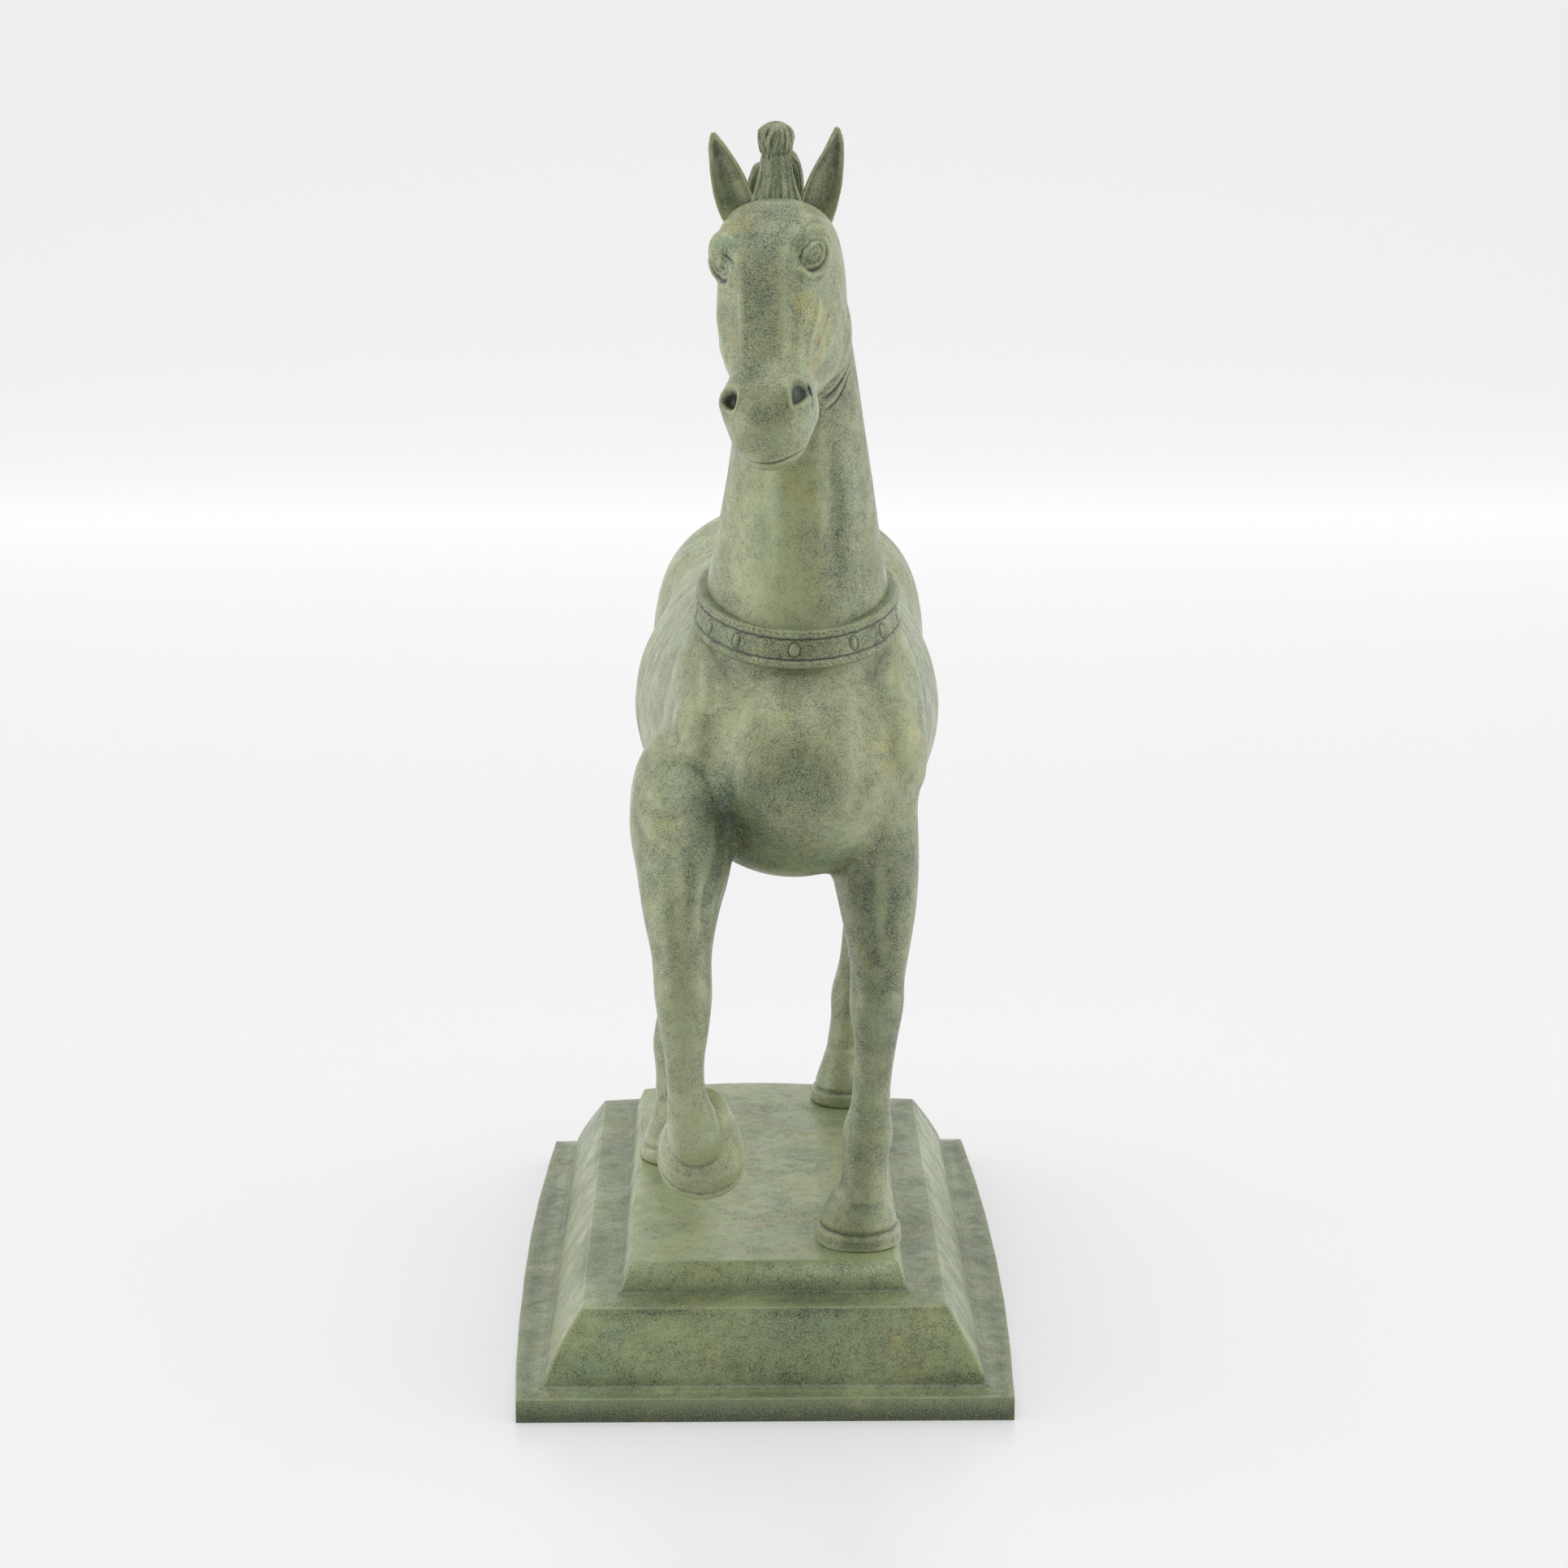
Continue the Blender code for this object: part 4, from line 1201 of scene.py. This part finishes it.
def collar_surface(count=1100, around=72):
    """The strap's section is a rounded box; relief is added to its outer face only.

    Each stud is e to the minus fourth power of the distance from its middle, in its own
    sizes, with a ring cut round it.
    """
    turn = np.linspace(0.0, 2.0 * np.pi, count, endpoint=False)
    centre = COLLAR_PLACE + np.stack([
        COLLAR_HALF_WIDTH * np.cos(turn), COLLAR_HALF_LENGTH * np.sin(turn), COLLAR_RISE * np.sin(turn),
    ], axis=1)
    outward = np.stack([np.cos(turn), np.sin(turn), 0.12 + 0.0 * turn], axis=1)
    along = unit(np.roll(centre, -1, axis=0) - np.roll(centre, 1, axis=0))
    outward = unit(outward - along * np.sum(outward * along, axis=1)[:, None])
    upward = np.cross(outward, along)
    way = np.arange(around) * 2.0 * np.pi / around
    thick = STRAP_HALF_THICKNESS * boxy(np.cos(way), 0.4)
    high = STRAP_HALF_HEIGHT * boxy(np.sin(way), 0.75)
    face = step_up(thick, 0.6, 1.8)[None, :] + 0.0 * turn[:, None]
    reach = np.concatenate([[0.0], np.cumsum(np.linalg.norm(np.diff(centre, axis=0), axis=1))])
    edge = np.exp(-(((np.abs(high) - 5.5) / 1.1) ** 2))[None, :]
    cords = 0.5 + 0.5 * np.cos((reach[:, None] / 2.2 + 0.35 * high[None, :]) * 2.0 * np.pi)
    worn = 0.5 + 0.5 * np.sin(7.0 * turn + 2.0 * np.sin(5.0 * turn)) * np.sin(23.0 * turn)
    cords = cords * (0.35 + 0.65 * worn[:, None])
    relief = face * edge * (0.70 + 0.40 * cords)
    wander = 0.25 * np.sin(31.0 * turn) + 0.2 * np.sin(57.0 * turn + 1.0)
    for line, deep in ((5.45, 0.55), (3.6, 0.60)):
        aside = np.abs(high)[None, :] - line + 0.5 * wander[:, None]
        relief -= deep * face * np.exp(-((aside / 0.32) ** 2))
    nicks = np.clip(np.sin(41.0 * turn + 3.0 * np.sin(13.0 * turn)) - 0.86, 0.0, 1.0)[:, None] / 0.14
    relief -= 0.35 * nicks * face * np.exp(-(((np.abs(high)[None, :] - 4.6) / 0.7) ** 2))
    for place, size, lift in COLLAR_STUDS:
        gap = reach[:, None] - np.interp(math.radians(place) % (2.0 * np.pi), turn, reach)
        gap = (gap + 0.5 * reach[-1]) % reach[-1] - 0.5 * reach[-1]
        radius = np.hypot(gap / size, high[None, :] / 1.9)
        relief += face * lift * (np.exp(-radius**4) - 0.6 * np.exp(-(((radius - 1.3) / 0.25) ** 2)))
    wide = thick[None, :] + relief
    rings = centre[:, None] + wide[..., None] * outward[:, None] + (high[None, :, None] * upward[:, None])
    return rings, relief - 0.1 * face


# Angle round the neck (270 is the front), half length and height of each round stud.
COLLAR_STUDS = [(267.0, 1.5, 0.5)]
COLLAR_STUDS += [(267.0 + hand * (34.0 + 22.0 * step), 1.3, 0.5) for hand in (-1, 1) for step in range(7)]
collar_rings, collar_relief = collar_surface()
collar = ring_mesh("horse_collar", collar_rings)
keep(Skin(collar), "hollow", np.clip(0.5 - 1.1 * collar_relief.ravel(), 0.2, 1.0))
print("collar", [round(size * 1000, 1) for size in collar.dimensions], "mm")

# %% [markdown]
# ## Forelock, mane and tail
#
# The forelock is drawn up between the ears, tied, and folded over into a knob. The mane
# is cropped and stands along the crest. Both are locks of hair laid side by side: each
# lock is a roll of clay with finer furrows cut along it. The tail hangs behind in long
# locks that twist a little as they fall.


# %% Locks
FORELOCK_GRAIN, FORELOCK_TRIANGLES = 0.3, 70000
TAIL_GRAIN, TAIL_TRIANGLES = 0.5, 90000


def combed(strands, depth, twist=0.0, wander=0.12):
    """A relief of hair: three cosines of the turn whose phases drift along the lock at their own pace."""
    def relief(share, turn):
        turn = turn + twist * share + wander * np.sin(4.0 * share + 3.0 * turn)
        broad = np.cos(strands * turn + 1.2 * np.sin(5.0 * share + 1.0))
        middle = np.cos(round(1.7 * strands) * turn + 2.0 * np.sin(3.0 * share + 0.5 * broad) + 2.0)
        fine = np.cos(round(3.1 * strands) * turn + 2.6 * np.sin(4.0 * share + 2.0) + 0.7)
        return depth * (0.42 * broad + 0.38 * middle + 0.36 * fine - 0.5)
    return relief


def lock(rows, strands=7, depth=0.35, twist=0.0, **options):
    return tube(rows, relief=combed(strands, depth, twist), around=160, count=140, **options)


# %% Forelock
def forelock_shapes():
    """Locks that fan over the forehead, a waist where they are tied, and a knob above it."""
    shapes = [
        lock([(4.6, -92, 414, 7.4, 6), (4.6, -92, 424, 7.0, 6), (4.8, -91.5, 433, 5.4, 5.4),
              (4.7, -91.5, 438, 5.0, 5.0), (4.7, -91.5, 442, 4.8, 5.0)], 16, 0.5, caps=(3, 2)),
        lock([(4.7, -91.8, 437.8, 5.2, 5.2), (4.7, -92, 441, 5.9, 6.0), (4.7, -92, 446, 6.2, 6.2),
              (4.7, -92, 450.2, 4.6, 4.8)], 13, 0.75, caps=(2.5, 3.4)),
        lock([(9.0, -84, 418, 3.6, 4), (10.6, -84, 428, 3.8, 4), (9.4, -85, 437, 3.0, 3.6),
              (7.6, -87, 440, 2.2, 2.8)], 9, 0.4, caps=(3, 3)),
        lock([(-0.5, -86, 420, 3.0, 4), (-2.2, -86, 428, 2.8, 4), (-0.6, -87, 436, 2.2, 3)],
             8, 0.4, caps=(3, 3)),
    ]
    for step in range(7):
        side = (step - 3) / 3.0
        x = 4.6 + side * 7.4
        low = 413.0 + 2.0 * abs(side) + 2.2 * math.sin(2.3 * step + 0.5)
        rows = [
            (x, -98.0 + 3.5 * side * side, low, 1.3, 1.2),
            (x - 0.2 * side, -99.2 + 3.5 * side * side, low + 6, 1.75, 1.7),
            (4.7 + side * 5.8, -98.4 + 3.2 * side * side, 427, 1.6, 1.6),
            (4.8 + side * 4.4, -96.6 + 2.8 * side * side, 435, 1.3, 1.4),
            (4.7 + side * 4.2, -96.2 + 2.6 * side * side, 439, 1.1, 1.2),
        ]
        shapes.append(lock(rows, 5, 0.4, twist=0.7 * math.sin(2.0 * step), caps=(2.5, 2)))
    return shapes


forelock = grown("horse_forelock", forelock_shapes(), FORELOCK_GRAIN)
hair = Skin(forelock)
hair.soften(0.6, passes=2)
finish_skin(hair, FORELOCK_TRIANGLES, [])


# %% Mane and tail
def mane():
    """A low crest of hair along the neck, notched all along like a cropped mane."""
    rows = [
        (6.8, -81, 420.5, 3.0, 4),
        (8.2, -68, 419.0, 4.0, 5),
        (10.4, -51, 403.5, 4.4, 6.5),
        (13.0, -39, 380, 4.8, 6.5),
        (14.5, -33, 353, 5.2, 6.5),
        (15.0, -28, 326, 5.4, 6),
        (14.0, -24, 303, 5.0, 5),
        (12.8, -14, 293, 3.8, 4),
        (12.0, -2, 286, 2.6, 2.6),
    ]

    def hairs(share, turn):
        slant = share + 0.05 * np.sin(turn) + 0.004 * np.sin(40.0 * share)
        broad = np.cos(150.0 * slant) + 0.6 * np.cos(263.0 * slant + 1.0)
        return 0.05 * (broad + 0.4 * np.cos(431.0 * slant + 2.0)) - 0.06

    return tube(rows, caps=(5, 6), around=96, count=700, relief=hairs)


def tail_shapes():
    """The tail: one thick roll, and nine locks that wind slowly round it."""
    core = [
        (11, 112, 277, 7.0, 7.5),
        (11, 125, 278, 7.0, 7.5),
        (11, 134.5, 270, 7.6, 8.0),
        (11, 138, 252, 8.4, 8.2),
        (11, 138, 228, 9.6, 8.2),
        (11, 138, 200, 10.0, 8.4),
        (11, 137, 172, 8.4, 7.2),
        (11, 135.5, 144, 3.0, 3.2),
    ]
    shapes = [lock(core, 16, 0.5, twist=0.5, caps=(6, 8))]
    share = np.linspace(0.0, 1.0, 9)
    middle, _, _ = smooth_rows(core, share)
    for step in range(9):
        turn = 2.0 * np.pi * step / 9.0 + 0.9 * share
        ring = np.stack([middle[:, 3] * np.cos(turn), middle[:, 4] * np.sin(turn)], axis=1) * 0.78
        thick = 0.36 * middle[:, 3] * (1.0 - 0.25 * share)
        rows = np.column_stack([middle[:, :2] + ring, middle[:, 2], thick, thick])
        shapes.append(lock(rows.tolist(), 7, 0.3, twist=0.8, caps=(3, 6)))
    return shapes


mane_mesh = new_mesh("horse_mane", [mane()])
mane_mesh.shade_smooth()
mane_piece = show("horse_mane", mane_mesh)
remember_hollows(Skin(mane_piece))
tail = grown("horse_tail", tail_shapes(), TAIL_GRAIN)
tail_hair = Skin(tail)
tail_hair.soften(0.6, passes=2)
finish_skin(tail_hair, TAIL_TRIANGLES, [])

# %% [markdown]
# ## The base
#
# The base is a separate casting: a thin slab, then a tall tier whose face slopes inwards
# in a hollow curve, then a low tier with the plate that the horse stands on. Sand-cast
# edges are never sharp, so each arris is rounded. The moulding is one profile, carried
# round the plan: insets from the slab's edge give rings, which then draw in to the middle.


# %% Base
BASE_HALF_WIDTH = 88.0
BASE_HALF_LENGTH = 150.0
SIDE_STEPS = 109
PLATE_RINGS = 32


def base_profile():
    """Inset and height of the moulding, from the underside's edge up to the plate's edge.

    A straight run is shared out evenly, a slope is a power curve, and every arris is a
    quarter circle of half a millimetre.
    """
    part = np.linspace(0.0, 1.0, 26)
    slope = np.stack([9.3 + 13.4 * part**1.25, 10.3 + 24.0 * part], axis=1)
    low = np.array([[0.0, 0.0], [0.0, 8.5], [8.2, 9.1]])
    high = np.array([[34.6, 34.6], [36.0, 35.3], [39.8, PLATE_TOP]])
    corners = np.concatenate([low, slope, high])
    points = [corners[0]]
    for before, here, after in zip(corners[:-2], corners[1:-1], corners[2:]):
        back, ahead = unit(before - here), unit(after - here)
        reach = min(0.7, 0.45 * np.linalg.norm(before - here), 0.45 * np.linalg.norm(after - here))
        bend = np.linspace(0.0, 1.0, 5)[:, None]
        start, stop = here + reach * back, here + reach * ahead
        points.extend((1 - bend) ** 2 * start + 2 * bend * (1 - bend) * here + bend**2 * stop)
    points.append(corners[-1])
    return np.array(points)


def base_outline(inset):
    """A ring at an inset: straight front, long sides and back that swell as a parabola."""
    share = np.linspace(-1.0, 1.0, SIDE_STEPS + 1)[:-1]
    half_x, half_y = BASE_HALF_WIDTH - inset, BASE_HALF_LENGTH - inset
    back_bow = 1.0 + 0.2 * inset
    back_y = half_y - 1.0 - 0.1 * inset
    middle = 0.5 * (back_y - half_y)
    bow = 4.2 * (1.0 - share**2) * max(0.0, 1.0 - inset / 9.0)
    right = np.stack([half_x + bow, middle + 0.5 * (half_y + back_y) * share], axis=1)
    back = np.stack([-half_x * share, back_y + back_bow * (1.0 - share**2)], axis=1)
    left = np.stack([-half_x - bow, middle - 0.5 * (half_y + back_y) * share], axis=1)
    front = np.stack([half_x * share, np.full(SIDE_STEPS, -half_y)], axis=1)
    return np.concatenate([right, back, left, front])


def base_hollows(profile):
    """For each point: above 0.5 near an inner corner of the moulding, below it near an arris.

    The turn of the profile at each of its points is the cross product of the runs before
    and after it, spread along the profile as e to the minus square of the distance.
    """
    run = np.diff(profile, axis=0)
    turn = np.zeros(len(profile))
    turn[1:-1] = run[:-1, 0] * run[1:, 1] - run[:-1, 1] * run[1:, 0]
    turn[1:-1] /= np.linalg.norm(run[:-1], axis=1) * np.linalg.norm(run[1:], axis=1)
    reach = np.concatenate([[0.0], np.cumsum(np.linalg.norm(run, axis=1))])
    near = np.exp(-(((reach[:, None] - reach[None, :]) / 0.9) ** 2))
    value = 0.5 + 0.40 * np.tanh(1.2 * (near @ turn))
    plate_edge = 0.5 - 0.4 * np.exp(-np.linspace(0.0, 8.0, PLATE_RINGS))
    per_ring = np.repeat(np.concatenate([value, plate_edge]), 4 * SIDE_STEPS)
    return np.concatenate([per_ring, [0.5, 0.5]])


def base_shape():
    """Rings up the moulding, then rings that draw in to the middle of the plate, and two poles."""
    rings = [
        np.column_stack([base_outline(inset), np.full(4 * SIDE_STEPS, height)])
        for inset, height in base_profile()
    ]
    rim = rings[-1]
    middle = np.array([0.0, 0.0, PLATE_TOP])
    inner = [middle + (rim - middle) * scale for scale in np.linspace(0.97, 0.03, PLATE_RINGS)]
    points = np.concatenate([*rings, *inner])
    floor = np.array([[0.0, 0.0, 0.0], middle])
    return np.concatenate([points, floor]), ring_faces(len(rings) + len(inner), 4 * SIDE_STEPS)


base_mesh = new_mesh("base_casting", [base_shape()])
base_mesh.shade_smooth()
base_piece = show("base_casting", base_mesh)
base_skin = Skin(base_piece)
keep(base_skin, "hollow", base_hollows(base_profile()))


def base_stain(plan):
    """Painted shade on the slab's own face and near the tall tier's edges, varied by a slow drift, and
    painted light that makes the plate paler.
    """
    inset = np.maximum(np.abs(plan[:, 0]) - BASE_HALF_WIDTH, np.abs(plan[:, 1]) - BASE_HALF_LENGTH)
    slab_face = step_up(inset, -1.5, -0.5) * (1.0 - 0.35 * step_up(plan[:, 2], 2.0, 7.0))
    drift = np.sin(0.11 * plan[:, 0] + 0.6 * np.sin(0.07 * plan[:, 1]))
    drift = 0.5 + 0.5 * drift * np.cos(0.05 * plan[:, 1] + 0.4)
    upper_edge = np.exp(-(((plan[:, 2] - 33.5) / 2.2) ** 2))
    lower_edge = np.exp(-(((plan[:, 2] - 11.5) / 2.5) ** 2))
    plate = step_up(plan[:, 2], 44.0, 44.6)
    return slab_face + 0.5 * (upper_edge + 0.7 * lower_edge) * drift - 0.2 * plate


def cast_waves(plan):
    """A tenth of a millimetre of unevenness: slow sines along both ways and on a slant."""
    broad = np.sin(0.055 * plan[:, 0] + 1.0) * np.sin(0.04 * plan[:, 1])
    slant = np.sin(0.13 * plan[:, 1] + 0.09 * plan[:, 0])
    return 0.12 * (broad + 0.5 * slant) * step_up(plan[:, 2], 0.0, 3.0)


# The base's darkening is painted shade on its faces and edges and painted light on its plate.
keep(base_skin, "stain", base_stain(base_skin.points))
base_skin.push(cast_waves(base_skin.points))
print("base", [round(size * 1000, 1) for size in base_piece.dimensions], "mm")

# %% [markdown]
# ## Patina
#
# Green bronze is not painted: acids and heat grow the colour in thin mottled layers, and
# wax seals it. Close up it is a dark stipple over grey-green, with clouds of darker green,
# patches of ochre and blue-green, dark lines where liquor pooled in the hollows, and
# paler, smoother crests where hands have rubbed. The same growth covers the horse and the
# base, so it is one node group, placed in each material with its own colours.


# %% Node helpers
def group_with(name, inputs, outputs):
    """A shader node group with named sockets, given as (name, type, value)."""
    group = bpy.data.node_groups.new(name, "ShaderNodeTree")
    for title, kind, value in inputs:
        socket = group.interface.new_socket(name=title, in_out="INPUT", socket_type=kind)
        if value is not None:
            socket.default_value = value
    for title, kind in outputs:
        group.interface.new_socket(name=title, in_out="OUTPUT", socket_type=kind)
    return group, group.nodes.new("NodeGroupInput").outputs, group.nodes.new("NodeGroupOutput").inputs


class Bench:
    """Adds nodes to one tree; sockets are passed as values or as other nodes' outputs."""

    def __init__(self, tree):
        self.tree = tree

    def put(self, kind, sockets=None, **settings):
        node = self.tree.nodes.new(kind)
        for key, value in settings.items():
            setattr(node, key, value)
        for key, value in (sockets or {}).items():
            if isinstance(value, bpy.types.NodeSocket):
                self.tree.links.new(value, node.inputs[key])
            else:
                node.inputs[key].default_value = value
        return node

    def noise(self, place, scale, detail=3.0, roughness=0.55):
        sockets = {"Vector": place, "Scale": scale, "Detail": detail, "Roughness": roughness}
        return self.put("ShaderNodeTexNoise", sockets).outputs["Fac"]

    def band(self, value, low, high, floor=0.0, top=1.0):
        """Maps low..high smoothly to floor..top and holds it beyond."""
        sockets = {"Value": value, "From Min": low, "From Max": high, "To Min": floor, "To Max": top}
        return self.put("ShaderNodeMapRange", sockets, interpolation_type="SMOOTHSTEP").outputs["Result"]

    def math(self, operation, first, second=0.0):
        return self.put("ShaderNodeMath", {0: first, 1: second}, operation=operation).outputs[0]

    def blend(self, share, under, over):
        return self.put("ShaderNodeMix", {0: share, 6: under, 7: over}, data_type="RGBA").outputs[2]

    def moved(self, place, offset):
        return self.put("ShaderNodeVectorMath", {0: place, 1: offset}, operation="ADD").outputs[0]


# %% The patina group
def patina_group():
    """Colour, roughness and fine relief of a waxed green bronze.

    Clouds, patches and stipple are noises at 45, 10 and 0.6 mm. Hollow is 0.5 on flat
    metal: above it the colour darkens, below it the crest is paler and smoother.
    """
    colour = "NodeSocketColor"
    value = "NodeSocketFloat"
    group, given, out = group_with(
        "waxed patina",
        [
            ("Place", "NodeSocketVector", None),
            ("Hollow", value, 0.5),
            ("Pale", colour, (0.44, 0.49, 0.26, 1.0)),
            ("Deep", colour, (0.19, 0.23, 0.12, 1.0)),
            ("Pooled", colour, (0.030, 0.037, 0.025, 1.0)),
            ("Ochre", colour, (0.50, 0.42, 0.14, 1.0)),
            ("Blue green", colour, (0.22, 0.38, 0.27, 1.0)),
            ("Stipple", value, 0.95),
            ("Stain", value, 0.0),
            ("Yellowing", value, 0.0),
        ],
        [("Color", colour), ("Roughness", value), ("Height", value)],
    )
    bench = Bench(group)
    place = given["Place"]
    cloud = bench.band(bench.noise(place, 22.0, 3.0), 0.36, 0.66)
    patch = bench.band(bench.noise(bench.moved(place, (0.31, 0.12, 0.05)), 100.0, 4.0, 0.6), 0.34, 0.68)
    depth = bench.math("ADD", bench.math("MULTIPLY", cloud, 0.32), bench.math("MULTIPLY", patch, 0.24))
    # Darkening adds painted shade where the horse and the base keep it, painted light where it is negative,
    # and a constant on the hair, mane and collar; the stipple grows denser with it.
    depth = bench.math("ADD", depth, given["Stain"])
    depth = bench.math("MINIMUM", depth, 1.0)
    grown_colour = bench.blend(depth, given["Pale"], given["Deep"])
    ochre = bench.noise(bench.moved(place, (0.7, 0.2, 0.9)), 60.0, 5.0, 0.65)
    ochre = bench.math("ADD", ochre, bench.math("MULTIPLY", given["Yellowing"], 0.25))
    ochre = bench.band(ochre, 0.54, 0.74, 0.0, 0.55)
    grown_colour = bench.blend(ochre, grown_colour, given["Ochre"])
    blue = bench.noise(bench.moved(place, (0.1, 0.8, 0.4)), 46.0, 5.0, 0.6)
    blue = bench.band(blue, 0.55, 0.75, 0.0, 0.5)
    grown_colour = bench.blend(blue, grown_colour, given["Blue green"])
    fine = bench.noise(place, 1800.0, 3.0, 0.7)
    stipple = bench.math("MULTIPLY", bench.band(fine, 0.36, 0.64), given["Stipple"])
    coarse = bench.band(bench.noise(place, 260.0, 5.0, 0.75), 0.42, 0.62)
    dense = bench.math("ADD", bench.math("MULTIPLY", depth, 0.70), bench.math("MULTIPLY", coarse, 0.36))
    stipple = bench.math("MULTIPLY", stipple, bench.math("ADD", dense, 0.26))
    grown_colour = bench.blend(stipple, grown_colour, given["Pooled"])
    light_fleck = bench.noise(bench.moved(place, (0.5, 0.5, 0.1)), 700.0, 4.0, 0.7)
    light_fleck = bench.band(light_fleck, 0.54, 0.68, 0.0, 0.30)
    grown_colour = bench.blend(light_fleck, grown_colour, given["Pale"])
    crease = bench.band(given["Hollow"], 0.60, 0.95, 0.0, 0.92)
    grown_colour = bench.blend(crease, grown_colour, given["Pooled"])
    crest = bench.band(given["Hollow"], 0.42, 0.08, 0.0, 0.40)
    grown_colour = bench.blend(crest, grown_colour, given["Pale"])
    rough = bench.band(patch, 0.0, 1.0, 0.34, 0.47)
    rough = bench.math("ADD", rough, bench.math("MULTIPLY", stipple, 0.18))
    rough = bench.math("SUBTRACT", rough, bench.math("MULTIPLY", crest, 0.12))
    pits = bench.math("MULTIPLY", stipple, 0.6)
    height = bench.math("SUBTRACT", bench.math("MULTIPLY", patch, 0.4), pits)
    group.links.new(grown_colour, out["Color"])
    group.links.new(rough, out["Roughness"])
    group.links.new(height, out["Height"])
    return group


PATINA = patina_group()


def bronze(name, attributes=(), **values):
    """A patinated bronze: the group feeds colour, roughness and bump; wax is the coat."""
    material = bpy.data.materials.new(name)
    material.use_nodes = True
    bench = Bench(material.node_tree)
    shader = material.node_tree.nodes["Principled BSDF"]
    place = bench.put("ShaderNodeTexCoord").outputs["Object"]
    grown_skin = bench.put("ShaderNodeGroup", node_tree=PATINA)
    material.node_tree.links.new(place, grown_skin.inputs["Place"])
    for attribute in attributes:
        kept = bench.put("ShaderNodeAttribute", attribute_name=attribute)
        material.node_tree.links.new(kept.outputs["Fac"], grown_skin.inputs[attribute.capitalize()])
    for key, value in values.items():
        grown_skin.inputs[key.replace("_", " ")].default_value = value
    relief = {"Height": grown_skin.outputs["Height"], "Strength": 0.35, "Distance": 0.00025}
    bump = bench.put("ShaderNodeBump", relief)
    links = material.node_tree.links
    links.new(grown_skin.outputs["Color"], shader.inputs["Base Color"])
    links.new(grown_skin.outputs["Roughness"], shader.inputs["Roughness"])
    links.new(bump.outputs["Normal"], shader.inputs["Normal"])
    shader.inputs["Metallic"].default_value = 0.12
    shader.inputs["Specular IOR Level"].default_value = 0.55
    shader.inputs["Coat Weight"].default_value = 0.35
    shader.inputs["Coat Roughness"].default_value = 0.26
    return material


# The darkening attribute brings painted shade and light into the horse's and the base's patina.
body_bronze = bronze("green bronze of the horse", ("hollow", "stain", "yellowing"))
hair_bronze = bronze("green bronze of the hair", ("hollow",), Stipple=0.8, Stain=0.3)
chased_bronze = bronze("green bronze of the mane and collar", ("hollow",), Stain=0.25)
base_bronze = bronze(
    "green bronze of the base", ("hollow", "stain"),
    Pale=(0.40, 0.46, 0.23, 1.0), Deep=(0.17, 0.22, 0.10, 1.0),
)
for piece, material in (
    (body, body_bronze), (head, body_bronze), (forelock, hair_bronze), (tail, hair_bronze),
    (mane_piece, chased_bronze), (collar, chased_bronze), (base_piece, base_bronze),
):
    piece.data.materials.clear()
    piece.data.materials.append(material)
print("patina on", len(bpy.data.materials), "materials")

for piece in (body, head, collar, forelock, mane_piece, tail):
    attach(piece, "root")
    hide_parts("horse")
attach(base_piece, "root")
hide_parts("base")
